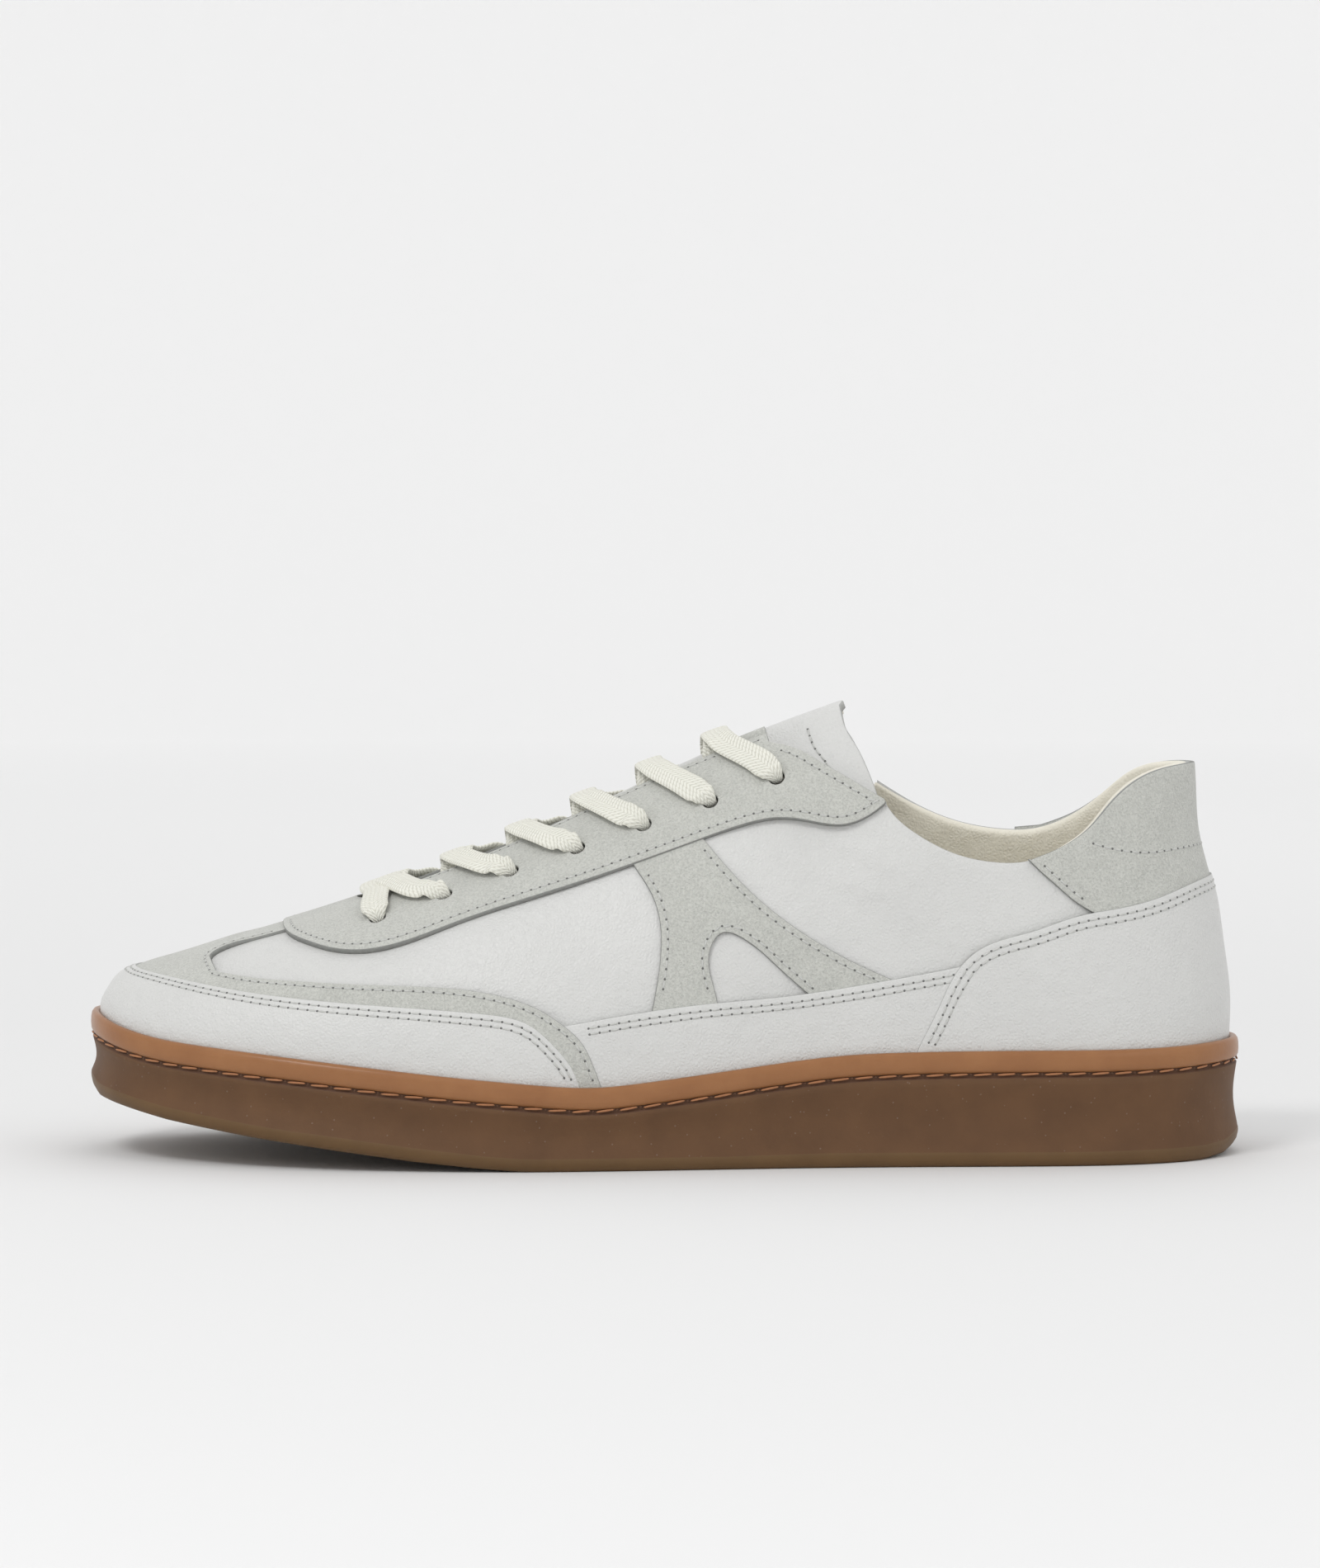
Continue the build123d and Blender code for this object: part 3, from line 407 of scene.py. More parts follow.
def panel(name, chart, loop, material, slot, depth=0.0, thick=1.1, holes=(), edge=None, body="upper",
          bevel=0.4, grid=1.8, relief=None, replaces=()):
    """A closed sheet with a rounded cut edge. depth and relief may be functions of 3-D points."""
    depth_at = depth if callable(depth) else lambda p: np.full(len(p), float(depth))
    loops = [resampled(loop, 0.9, chart, True)] + [resampled(h, 0.5, chart, True) for h in holes]
    loops = [q if (signed_area(q) > 0) == (k == 0) else q[::-1] for k, q in enumerate(loops)]
    inner = [chart.inset(q, bevel) for q in loops]
    verts, tris = triangles_between(inner, grid_dots(inner, grid))
    p, _, _, n = chart.frame(verts)
    n = n * chart.out
    d = depth_at(p)
    if relief is not None:
        edge_distance = nearest(p, chart.point(np.concatenate(loops)))
        d = d + relief(p) * smooth(edge_distance, 1, 6)
    points = [p - n * d[:, None]]
    faces, indices = tris.tolist(), [0] * len(tris)
    count = len(verts)
    bottom = np.full(len(verts), -1)
    for q, line in zip(loops, inner):
        first = np.array([np.argmin(((verts - c) ** 2).sum(1)) for c in line])
        at, _, _, m = chart.frame(q)
        m = m * chart.out
        base = depth_at(at)[:, None]
        mid = chart.frame(chart.inset(q, bevel * 0.3))
        rings = [mid[0] - mid[3] * chart.out * (base + bevel * 0.2), at - m * (base + bevel * 0.75),
                 at - m * (base + thick)]
        above = first
        for k, ring in enumerate(rings):
            here = count + np.arange(len(q))
            points.append(ring)
            count += len(q)
            faces += np.stack([above, here, np.roll(here, -1), np.roll(above, -1)], 1).tolist()
            indices += [1 if edge is not None and k > 0 else 0] * len(q)
            above = here
        bottom[first] = above
    free = np.where(bottom < 0)[0]
    bottom[free] = count + np.arange(len(free))
    points.append(p[free] - n[free] * (d[free] + thick)[:, None])
    faces += bottom[tris[:, ::-1]].tolist()
    indices += [0] * len(tris)
    if chart.out < 0:
        faces = [f[::-1] for f in faces]
    materials = [material] + ([edge] if edge is not None else [])
    piece = make_object(name, np.concatenate(points), faces, materials, body, indices)
    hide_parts(*replaces)
    return piece


# ---- materials ----
class Finish:
    """A procedural material: its Principled shader and the nodes that feed it."""

    def __init__(self, name, coordinates="Object"):
        self.material = bpy.data.materials.new(name)
        self.material.use_nodes = True
        self.tree = self.material.node_tree
        self.place = self.node("TexCoord").outputs[coordinates]

    def feed(self, node, inputs):
        """Sets a node's inputs to numbers or colours, or links them to other nodes' outputs."""
        for key, value in inputs.items():
            if isinstance(value, bpy.types.NodeSocket):
                self.tree.links.new(value, node.inputs[key])
            else:
                node.inputs[key].default_value = value

    def node(self, kind, inputs=None, **settings):
        made = self.tree.nodes.new("ShaderNode" + kind)
        for key, value in settings.items():
            setattr(made, key, value)
        self.feed(made, inputs or {})
        return made

    def math(self, kind, a, b=None, c=None):
        values = {k: v for k, v in enumerate((a, b, c)) if v is not None}
        return self.node("Math", values, operation=kind).outputs[0]

    def noise(self, scale, detail=3.0, rough=0.55):
        inputs = {"Scale": scale, "Detail": detail, "Roughness": rough, "Vector": self.place}
        return self.node("TexNoise", inputs).outputs["Fac"]

    def cells(self, scale, feature="F1"):
        inputs = {"Scale": scale, "Vector": self.place}
        return self.node("TexVoronoi", inputs, feature=feature).outputs["Distance"]

    def ramp(self, value, first, second):
        """A blend between two (value, colour) stops."""
        made = self.node("ValToRGB", {"Fac": value})
        for element, (place, colour) in zip(made.color_ramp.elements, (first, second)):
            element.position = place
            element.color = (*colour, 1)
        return made.outputs["Color"]

    def bump(self, height, distance, strength=1.0, under=None):
        inputs = {"Distance": distance, "Strength": strength, "Height": height}
        if under is not None:
            inputs["Normal"] = under
        return self.node("Bump", inputs).outputs["Normal"]

    def done(self, colour, normal, rough, **more):
        """The material, with further inputs given by name, underscores for spaces."""
        inputs = {"Base Color": colour, "Normal": normal, "Roughness": rough}
        inputs.update({key.replace("_", " "): value for key, value in more.items()})
        self.feed(self.tree.nodes["Principled BSDF"], inputs)
        return self.material


def leather(name, colour, grain=1000, rough=0.42):
    """Smooth full-grain leather: pebbled pores, faint creases and a slight unevenness of colour."""
    m = Finish(name)
    folds = m.bump(m.noise(80, 7, 0.66), 0.00055)
    soft = m.bump(m.cells(260, "SMOOTH_F1"), 0.00028, 0.8, folds)
    pores = m.bump(m.cells(grain, "DISTANCE_TO_EDGE"), 0.00022, 1.0, soft)
    pale = tuple(min(c * 1.04, 1) for c in colour)
    return m.done(m.ramp(m.noise(35), (0.3, colour), (0.7, pale)), pores, rough, Coat_Weight=0.06,
                  Coat_Roughness=0.4)


def suede(name, colour, dark):
    """Short brushed nap: fine speckle, soft patches and a sheen."""
    m = Finish(name)
    nap = m.noise(1700, 2, 0.7)
    mottled = m.math("MULTIPLY_ADD", m.noise(130, 4), 0.18, m.math("MULTIPLY", nap, 0.82))
    return m.done(m.ramp(mottled, (0.32, dark), (0.62, colour)), m.bump(nap, 0.0004), 0.95,
                  Specular_IOR_Level=0.15, Sheen_Weight=0.35, Sheen_Roughness=0.5)


def plain(name, colour, rough=0.8):
    """A matt finish with a fine uneven surface, for cut edges, thread, board and tips."""
    m = Finish(name)
    fine = m.noise(900)
    dark = tuple(c * 0.86 for c in colour)
    return m.done(m.ramp(fine, (0.35, dark), (0.65, colour)), m.bump(fine, 0.00006, 0.8), rough)


def rubber(name, colour, dark, rough, speck=0.0):
    """Gum rubber: cloudy colour, and on the wall fine pale specks."""
    m = Finish(name)
    cloud = m.ramp(m.noise(90, 5), (0.3, dark), (0.7, colour))
    if speck:
        spots = m.ramp(m.cells(420), (0.05, (speck,) * 3), (0.12, (0, 0, 0)))
        mixed = m.node("Mix", {}, data_type="RGBA", blend_type="ADD")
        m.feed(mixed, {"Factor": 1.0, "A": cloud, "B": spots})
        cloud = mixed.outputs["Result"]
    return m.done(cloud, m.bump(m.noise(700), 0.00006, 0.7), rough, Specular_IOR_Level=0.35,
                  Subsurface_Weight=0.06, Subsurface_Radius=(0.003, 0.0015, 0.0008))


def braid(name, colour, dark):
    """Flat braided cotton: slanted ribs that meet along the band's middle, over its UV in millimetres."""
    m = Finish(name, "UV")
    split = m.node("SeparateXYZ", {0: m.place})
    off = m.math("ABSOLUTE", split.outputs[0])
    slant = m.math("ADD", split.outputs[1], m.math("MULTIPLY", off, 0.9))
    ribs = m.math("ABSOLUTE", m.math("SINE", m.math("MULTIPLY", slant, math.pi / 1.15)))
    rows = m.math("ABSOLUTE", m.math("SINE", m.math("MULTIPLY", off, math.pi / 0.95)))
    height = m.math("MULTIPLY", m.math("ADD", ribs, 0.25), m.math("ADD", rows, 0.55))
    # The colour darkens toward the low parts of the ribs: painted shade between the braid's ribs.
    return m.done(m.ramp(height, (0.2, dark), (0.9, colour)), m.bump(height, 0.00022, 0.9), 0.88,
                  Sheen_Weight=0.15)


white = leather("white_leather", (0.635, 0.635, 0.62))
grey = suede("grey_suede", (0.60, 0.605, 0.565), (0.45, 0.455, 0.425))
raw = plain("suede_raw_edge", (0.30, 0.305, 0.29), 0.95)
white_edge = plain("leather_cut_edge", (0.47, 0.475, 0.46))
seam_thread = plain("seam_thread", (0.60, 0.605, 0.58), 0.7)
# Dark discs at the stitch ends: painted shade where each stitch goes down into its needle hole.
needle_hole_shade = plain("needle_hole_shade", (0.17, 0.172, 0.165), 0.9)
cream = leather("cream_lining", (0.78, 0.745, 0.64), rough=0.55)
# The lace's darker colour is the painted shade between the braid's ribs.
lace_cotton = braid("lace_braid", (0.88, 0.875, 0.79), (0.66, 0.645, 0.55))
lace_tip = plain("lace_tip", (0.80, 0.79, 0.74), 0.25)
# The lip, wall and foot band are one gum rubber; the wall and band take a brown about half as bright as the
# lip's, which is painted shade on the sole's upright side under the overhead light.
gum_lip = rubber("gum_lip", (0.335, 0.15, 0.058), (0.285, 0.122, 0.046), 0.3)
gum_wall = rubber("gum_wall", (0.135, 0.065, 0.026), (0.108, 0.051, 0.020), 0.6, 0.05)
gum_band = rubber("gum_band", (0.142, 0.077, 0.028), (0.120, 0.064, 0.023), 0.5)
# The sole's groove is the same gum as its wall, coloured darker as painted shade in the recess; the same
# finish colours the painted-shade discs at the sole stitches' needle holes.
gum_groove_shade = plain("gum_groove_shade", (0.10, 0.042, 0.018), 0.7)
gum_thread = plain("sole_thread", (0.40, 0.17, 0.07), 0.6)
WHITE, SUEDE, LINED = (white, "leather_white"), (grey, "suede"), (cream, "textile_lining")


# ---- stitches ----
def bead(across, up, ends, rings=5, sides=6):
    """A small closed spindle along +X, as points and faces."""
    points, faces = [(-ends, 0, 0)], []
    for k in range(1, rings):
        a = math.pi * k / rings
        for j in range(sides):
            b = 2 * math.pi * j / sides
            points.append((-ends * math.cos(a), across * math.sin(a)**0.6 * math.cos(b),
                           up * math.sin(a)**0.6 * math.sin(b)))
    points.append((ends, 0, 0))
    last = len(points) - 1
    for j in range(sides):
        k = (j + 1) % sides
        faces.append((0, 1 + k, 1 + j))
        faces.append((last, last - sides + j, last - sides + k))
        for r in range(rings - 2):
            a = 1 + r * sides
            faces.append((a + j, a + k, a + sides + k, a + sides + j))
    return np.array(points, float), faces


def row_of_stitches(name, places, ahead, out, pitch, body, materials, thick=0.26, lift=0.03, tilt=0.0,
                    hole=0.29):
    """Stitches between evenly spaced places on a surface, each ending in a dark disc of painted shade at its
    needle hole.
    """
    stitch, stitch_faces = bead(thick, thick * 0.8, pitch * 0.40)
    dot, dot_faces = bead(hole, hole * 0.35, hole * 1.1, 4, 6)
    points, faces, indices, count = [], [], [], 0
    side = unit(np.cross(out, ahead))
    out = np.cross(ahead, side)
    middles = (places[1:] + places[:-1]) / 2
    for index, (shape, shape_faces, at, height) in enumerate(((stitch, stitch_faces, middles, lift),
                                                             (dot, dot_faces, places, 0.0))):
        for i in range(len(at)):
            a = ahead[i] * math.cos(tilt) + side[i] * math.sin(tilt)
            s = side[i] * math.cos(tilt) - ahead[i] * math.sin(tilt)
            points.append(shape @ np.stack([a, s, out[i]]) + at[i] + out[i] * height)
            faces += [[v + count for v in f] for f in shape_faces]
            indices += [index] * len(shape_faces)
            count += len(shape)
    return make_object(name, np.concatenate(points), faces, materials, body, indices)


def seam_rows(name, chart, line, loop, distances, depth, pitch=2.6, trim=(0, 0), body="upper"):
    """Rows of stitches inside a panel, at set distances from one of its edges."""
    for k, distance in enumerate(distances):
        moved = chart.inset(line, distance, closed=False)
        if inside(moved, loop).mean() < 0.5:
            moved = chart.inset(line, -distance, closed=False)
        moved = moved[inside(moved, loop)]
        q = resampled(moved, pitch, chart, False)
        q = q[trim[0]:len(q) - trim[1]]
        p, _, _, n = chart.frame(q)
        n = n * chart.out
        d = depth(p) if callable(depth) else np.full(len(p), float(depth))
        p = p - n * d[:, None]
        row_of_stitches(f"{name}_{k + 1}", p, unit(np.gradient(p, axis=0)), n, pitch, body,
                        [seam_thread, needle_hole_shade])


# ---- the sole ----
BAND_LINE = [(-149, 18.6), (-145, 16.2), (-126, 13.3), (-104, 11.3), (-83, 9), (-62, 6.3), (-41, 3.8),
             (-20, 2.8), (0, 3.1), (42, 3.9), (105, 3.7), (137, 3.9), (144, 4.6), (149, 6.5)]
BAND_LEAST = 3.4
STATIONS, COLUMNS = 240, 84
IN_LIP, IN_GROOVE, IN_WALL, IN_BAND = range(4)
# how far out of the upper's plan, share of the way from rim to foot band, rise, and which rubber finish the
# faces take; the groove's, wall's and band's darker finishes hold painted shade
SOLE_LIP = [(-3.2, 0, -6.5, IN_LIP), (-1.2, 0, -4.5, IN_LIP), (0.15, 0, -1.2, IN_LIP), (0.7, 0, -0.3, IN_LIP),
            (1.4, 0, 0.05, IN_LIP), (2.1, 0, -0.15, IN_LIP), (2.6, 0, -0.8, IN_LIP), (2.8, 0, -1.9, IN_LIP),
            (2.85, 0, -3.4, IN_LIP), (2.75, 0, -4.6, IN_LIP), (2.45, 0, -5.2, IN_LIP),
            (1.9, 0, -5.45, IN_GROOVE), (1.55, 0, -5.9, IN_GROOVE), (1.8, 0, -6.5, IN_GROOVE),
            (2.35, 0, -6.9, IN_WALL)]
WALL_STEPS, WALL_HOLLOW, WALL_TOP = 9, 1.0, -6.9
SOLE_EDGE = [(2.8, 1.9), (2.5, 0.8), (1.9, 0.15), (1.0, 0.0)]
SOLE_PITCH = 6.0
INSOLE_SIDE = [(-7.7, -5.1), (-7.5, -3.0), (-7.5, -1.2), (-7.9, -0.3), (-9.0, 0.05)]


def plan_loop(out):
    """The upper's plan outline moved outward: heel, lateral side, toe, medial side."""
    t = np.linspace(0, 1, STATIONS + 1)
    x = plan_x(t)
    x = np.concatenate([x, x[-2:0:-1]])
    y = np.concatenate([-lateral_width(t), medial_width(t)[-2:0:-1]])
    dx, dy = np.roll(x, -1) - np.roll(x, 1), np.roll(y, -1) - np.roll(y, 1)
    for _ in range(3):
        dx, dy = ((np.roll(d, 1) + 2 * d + np.roll(d, -1)) / 4 for d in (dx, dy))
    length = np.hypot(dx, dy)
    return np.stack([x - out * dy / length, y + out * dx / length], -1), x


def cap(ring, height, columns, start, flip, new):
    """A net between the two sides of a ring whose first vertex is number start. Its own begin at new."""
    n = STATIONS
    points, grid = [], []
    for i in range(1, n):
        a, b = ring[i], ring[2 * n - i]
        row = [start + i]
        for c in range(1, columns):
            s = c / columns
            xy = a[:2] * (1 - s) + b[:2] * s
            points.append((*xy, height(xy[0], xy[1], min(s, 1 - s) * np.linalg.norm(b[:2] - a[:2]), i)))
            row.append(new + len(points) - 1)
        row.append(start + 2 * n - i)
        grid.append(row)
    faces = []
    for r0, r1 in zip(grid, grid[1:]):
        for c in range(columns):
            faces.append([r0[c], r1[c], r1[c + 1], r0[c + 1]])
    for c in range(columns):
        faces.append([start, grid[0][c], grid[0][c + 1]])
        faces.append([start + n, grid[-1][c + 1], grid[-1][c]])
    return points, [f[::-1] for f in faces] if flip else faces


def capped(rings, low, low_columns, high, high_columns, flip):
    """Rings closed by a net at their first and last ring, with the faces in three groups."""
    around = 2 * STATIONS
    sides = ring_faces(len(rings), around)
    total = len(rings) * around
    end, end_faces_made = cap(rings[-1], high, high_columns, total - around, flip, total)
    begin, begin_faces = cap(rings[0], low, low_columns, 0, not flip, total + len(end))
    points = np.concatenate([np.concatenate(rings), np.array(end), np.array(begin)])
    return points, sides, end_faces_made, begin_faces


def tread_height(x, y, inset, i):
    """The underside: herringbone ribs inside a plain border, and a flat pivot ring under the ball."""
    phase = ((x + 5.0 * abs((y / 15.0) % 2 - 1)) / 6.0) % 1
    groove = 1.0 * (1 - smooth(abs(phase - 0.5), 0.1, 0.26)) * smooth(inset, 5.5, 7.5)
    ring = abs(math.hypot(x + 55, y - 1) - 24)
    groove = groove * smooth(ring, 1.6, 3.0) + 0.9 * (1 - smooth(ring, 0.6, 1.6))
    return float(tread(x) + groove)


def sole_section():
    """The sole's outline from its inner floor to the foot band, as in SOLE_LIP, with the hollowed wall."""
    section = list(SOLE_LIP)
    for k in range(1, WALL_STEPS + 1):
        share = k / WALL_STEPS
        hollow = WALL_HOLLOW * math.sin(math.pi * share)**1.2
        section.append((2.3 + 0.4 * share - hollow, share, WALL_TOP * (1 - share), IN_WALL))
    return section + [(2.8, 1, -0.25, IN_BAND), (2.85, 1, -0.9, IN_BAND)]


def make_sole():
    """Cup sole: rolled lip, stitched groove, hollowed wall, foot band, rounded edge and ribbed underside."""
    rings, kinds = [], []
    for out, share, drop, kind in sole_section():
        xy, x = plan_loop(out)
        band = np.maximum(np.interp(x, *np.array(BAND_LINE).T), tread(xy[:, 0]) + BAND_LEAST)
        rings.append(np.column_stack([xy, (1 - share) * rim(x) + share * band + drop]))
        kinds.append(kind)
    for out, rise in SOLE_EDGE:
        xy, x = plan_loop(out)
        rings.append(np.column_stack([xy, tread(xy[:, 0]) + rise]))
        kinds.append(IN_BAND)
    points, faces, under, floor = capped(rings, lambda x, y, inset, i: float(rings[0][i][2] - 0.5), 4,
                                         tread_height, COLUMNS, True)
    indices = []
    for above, below in zip(kinds, kinds[1:]):
        indices += [below if below == IN_BAND else min(above, below)] * (2 * STATIONS)
    indices += [IN_BAND] * len(under) + [IN_WALL] * len(floor)
    sole = make_object("cup_sole", points, faces + under + floor, [gum_lip, gum_groove_shade, gum_wall, gum_band],
                       "upper", indices)
    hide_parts("cupsole")


def make_sole_stitches():
    """The thread that lies in the groove round the whole sole."""
    xy, x = plan_loop(2.35)
    line = np.column_stack([xy, rim(x) - 5.85])
    closed = np.concatenate([line, line[:1]])
    run = run_of(closed)
    t = np.linspace(0, run[-1], int(run[-1] / SOLE_PITCH) + 1)
    p = np.stack([np.interp(t, run, closed[:, k]) for k in range(3)], -1)
    ahead = np.roll(p, -1, 0) - np.roll(p, 1, 0)
    ahead[0] = ahead[-1] = p[1] - p[-2]
    ahead = unit(ahead)
    out = np.cross(ahead, (0, 0, 1.0))
    out *= np.sign((out * (p - (0, 0, 20))).sum(1, keepdims=True))
    thread = row_of_stitches("sole_stitches", p, ahead, out, SOLE_PITCH, "upper",
                             [gum_thread, gum_groove_shade], thick=0.30, lift=0.1, tilt=0.06, hole=0.28)
    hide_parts("sidewall_thread")


def make_footbed():
    """The lift-out insole: soft rounded sides and a slightly dished leather cover."""
    rings = []
    for out, rise in INSOLE_SIDE:
        xy, x = plan_loop(out)
        rings.append(np.column_stack([xy, rim(x) + rise]))
    bottom, top = INSOLE_SIDE[0][1], INSOLE_SIDE[-1][1]
    points, faces, cover, base = capped(rings, lambda x, y, s, i: float(rim(x) + bottom), 4,
                                        lambda x, y, s, i: float(rim(x) + top - 0.5 * smooth(s, 0, 14)), 24,
                                        False)
    faces = [f[::-1] for f in faces]
    bed = make_object("insole", points, faces + cover + base, [cream], "footbed")
    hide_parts("footbed", "footbed_cover")


# ---- the upper ----
def over(*lines):
    return np.concatenate(lines)


def lowered(points, drop):
    return [(x, z - drop) for x, z in points]


def band_depth(p):
    """The toe band climbs over the side foxing and sinks under the eyestay's nose."""
    stem = smooth(p[:, 0], -112, -103) * (np.abs(p[:, 1] - centre(p[:, 0])) < 20)
    return -0.1 - 0.3 * smooth(p[:, 0], -45, -28) + 0.45 * stem


def throat_line(chart, x_from, x_to, half, side, count=120):
    return on_plan(chart, np.linspace(x_from, x_to, count), side * half, side)


def throat_nose(extra):
    """The rounded front of the throat, from the lateral to the medial edge."""
    a = np.linspace(-math.pi / 2, math.pi / 2, 30)
    x = NOSE_X - (NOSE_LONG + extra) * np.cos(a)
    return on_plan(FRONT, x, (THROAT_HALF + extra) * np.sin(a), np.sign(a))


def eyelet_place(row):
    """Side view of an eyelet, row 0 nearest the toe."""
    return [a + (b - a) * row / (EYELET_ROWS - 1) for a, b in zip(EYELET_FIRST, EYELET_LAST)]


def eyelet_hole(row, side, radius=2.1, count=20):
    x, z = eyelet_place(row)
    q = FRONT.flat(np.array([x]), np.array([z]), side)
    a = np.linspace(0, 2 * math.pi, count, endpoint=False)
    _, u, v, _ = FRONT.frame(q)
    e1 = unit(u[0])
    e2 = unit(v[0] - e1 * (v[0] @ e1))
    offset = radius * (np.cos(a)[:, None] * e1 + np.sin(a)[:, None] * e2)
    return FRONT.move(np.repeat(q, count, 0), offset)


def eyelet_hole_rear(row, side):
    p = FRONT.point(eyelet_hole(row, side, WIDER_HOLE))
    return REAR.flat(p[:, 0], p[:, 2], side)


def soft_creases(p):
    """Shallow wandering folds where the quarter flexes below the collar."""
    x, z = p[:, 0], p[:, 2]

    def patch(across, wide, up, high):
        return np.exp(-(across / wide) ** 2 - (up / high) ** 2)

    wave = np.sin(x * 0.34 + z * 0.55 + 1.3 * np.sin(z * 0.16))
    broad = np.sin(x * 0.11 + 1.0) * np.sin(z * 0.13)
    pulled = patch(x - 62 + (z - 70) * 0.9, 6, z - 68, 12)
    folds = 0.24 * wave * patch(x - 48, 20, z - 72, 14) + 0.35 * broad
    return folds + patch(x - 40, 9, z - 76, 13) - 0.7 * pulled


def vamp_swell(p):
    return 0.2 * np.sin(p[:, 0] * 0.10) * np.sin(p[:, 2] * 0.17 + 0.7)


def make_toe():
    """The white guard round the toe, and the suede band above it with its stem back to the eyestay."""
    guard_l, guard_m = both(FRONT, GUARD_TOP)
    low_l, low_m = (margin(FRONT, GUARD_TOP[-1][0], TOE_X, side) for _, side in SIDES)
    guard_edge = over(guard_m[::-1], guard_l)
    guard = over(guard_edge, low_l, low_m[::-1])
    panel("toe_guard_panel", FRONT, guard, *WHITE, *GUARD, edge=white_edge, replaces=["toe_guard"])
    seam_rows("toe_guard_stitches", FRONT, guard_edge, guard, (1.4, 2.9), GUARD[0], trim=(2, 2))

    band_l, band_m = both(FRONT, BAND_TOP)
    stem = sampled(STEM_EDGE)
    stem_l, stem_m = (on_plan(FRONT, stem[:, 0], side * stem[:, 1], side) for _, side in SIDES)
    tuck_l, tuck_m = both(FRONT, GUARD_TOP[:-1], -5, -4)
    band = over(band_l[::-1], stem_l, stem_m[::-1], band_m, tuck_m[::-1], tuck_l)
    panel("toe_band_panel", FRONT, band, *SUEDE, band_depth, 1.35, edge=raw, replaces=["toe_overlay"])
    for name, line in (("lateral", over(band_l[::-1], stem_l)), ("medial", over(band_m[::-1], stem_m))):
        seam_rows(f"toe_band_stitches_{name}", FRONT, line, band, (1.5,), band_depth, trim=(2, 4))


def make_eyestay():
    """The suede U round the throat, punched with two rows of eyelets."""
    holes = [eyelet_hole(row, side) for _, side in SIDES for row in range(EYELET_ROWS)]
    low_l, low_m = both(FRONT, STAY_LOW)
    top_l, top_m = both(FRONT, STAY_TOP)
    throat_l, throat_m = (throat_line(FRONT, 27, NOSE_X, THROAT_HALF, side) for _, side in SIDES)
    stay = over(low_l, top_l, throat_l, throat_nose(0), throat_m[::-1], top_m[::-1], low_m[::-1])
    panel("eyestay_panel", FRONT, stay, *SUEDE, *STAY, holes, raw, grid=1.5, replaces=["eyestay"])
    for name, low, top, side in (("lateral", low_l, top_l, throat_l), ("medial", low_m, top_m, throat_m)):
        for row, line, distance, trim in (("eyestay", over(low, top), 2.1, (1, 2)),
                                          ("throat", side, 1.9, (1, 1))):
            seam_rows(f"{row}_stitches_{name}", FRONT, line, stay, (distance,), STAY[0], 2.4, trim)


def make_vamp():
    """The white forefoot and its lining, which pass under the toe band, the eyestay and the quarters."""
    feet = both(FRONT, [(SPLIT_X, 34), (-10, 33), (-20, 31)])
    tucks = both(FRONT, BAND_TOP[:-2], -3, -5)
    split_l = seam(FRONT, [(SPLIT_X, 34), (SPLIT_X, 97)], -1)
    split_m = seam(FRONT, [(SPLIT_X, 97), (SPLIT_X, 34)], 1)
    throat_l, throat_m = (throat_line(FRONT, SPLIT_X, NOSE_X, THROAT_HALF + 1, side) for _, side in SIDES)
    vamp = over(throat_l, throat_nose(1), throat_m[::-1], split_m, feet[1], tucks[1][::-1], tucks[0],
                feet[0][::-1], split_l)
    holes = [eyelet_hole(row, side, WIDER_HOLE) for _, side in SIDES for row in range(4)]
    panel("vamp_panel", FRONT, vamp, *WHITE, *VAMP, holes, relief=vamp_swell, replaces=["vamp"])
    panel("vamp_lining_panel", FRONT, vamp, *LINED, *LINING, holes, replaces=["vamp_lining"])


def make_side(name, side):
    """One quarter with its lining, its forked overlay and the foxing strip above the sole."""

    def on(points):
        return seam(REAR, points, side)

    front_x, lining_x, stay_line = SPLIT_X - 3, SPLIT_X + 1, STAY_TOP[::-1][1:]
    heel_down = np.stack([np.full(40, 0.25 * side), np.linspace(101, 67, 40)], -1)
    quarter = over(on(TOPLINE if side < 0 else MEDIAL_TOPLINE), heel_down, on(lowered(HEEL_TOP[5:], 5))[::-1],
                   on(lowered(FOXING_TOP[3:-1], 5))[::-1], on([(front_x, 34), (front_x, 95)]),
                   throat_line(REAR, front_x, 24, THROAT_HALF + 1.2, side), on(lowered(stay_line, 1.2)))
    holes = [eyelet_hole_rear(row, side) for row in (5, 6)]
    panel(f"quarter_panel_{name}", REAR, quarter, *WHITE, *QUARTER, holes, edge=white_edge,
          relief=soft_creases, replaces=[f"quarter_{name}"])
    lining = over(on(lowered(stay_line, 2.2)), on([(57, 90), (62, 84), (63, 40)]),
                  on([(63, 40), (lining_x, 36)]), on([(lining_x, 36), (lining_x, 95)]),
                  throat_line(REAR, lining_x, 24, THROAT_HALF + 1.5, side))
    panel(f"quarter_lining_panel_{name}", REAR, lining, *LINED, *LINING, holes,
          replaces=[f"quarter_lining_{name}"])

    fork_lines = [on(OVERLAY_FRONT), on(OVERLAY_NOTCH), on(OVERLAY_REAR)]
    fork = over(*fork_lines)
    panel(f"side_overlay_panel_{name}", REAR, fork, *SUEDE, *OVERLAY, edge=raw,
          replaces=[f"side_overlay_{name}"])
    for k, line in enumerate(fork_lines):
        seam_rows(f"side_overlay_stitches_{name}_{k}", REAR, line, fork, (1.7,), OVERLAY[0], trim=(3, 3))

    foxing_top = on(FOXING_TOP)
    foxing = over(foxing_top, on([(82, 50), (80, 28)]), margin(REAR, 80, -33, side))
    panel(f"side_foxing_panel_{name}", REAR, foxing, *WHITE, *FOXING, edge=white_edge,
          replaces=[f"side_foxing_{name}"])
    seam_rows(f"side_foxing_stitches_{name}", REAR, foxing_top, foxing, (1.7, 3.2), FOXING[0], trim=(6, 2))


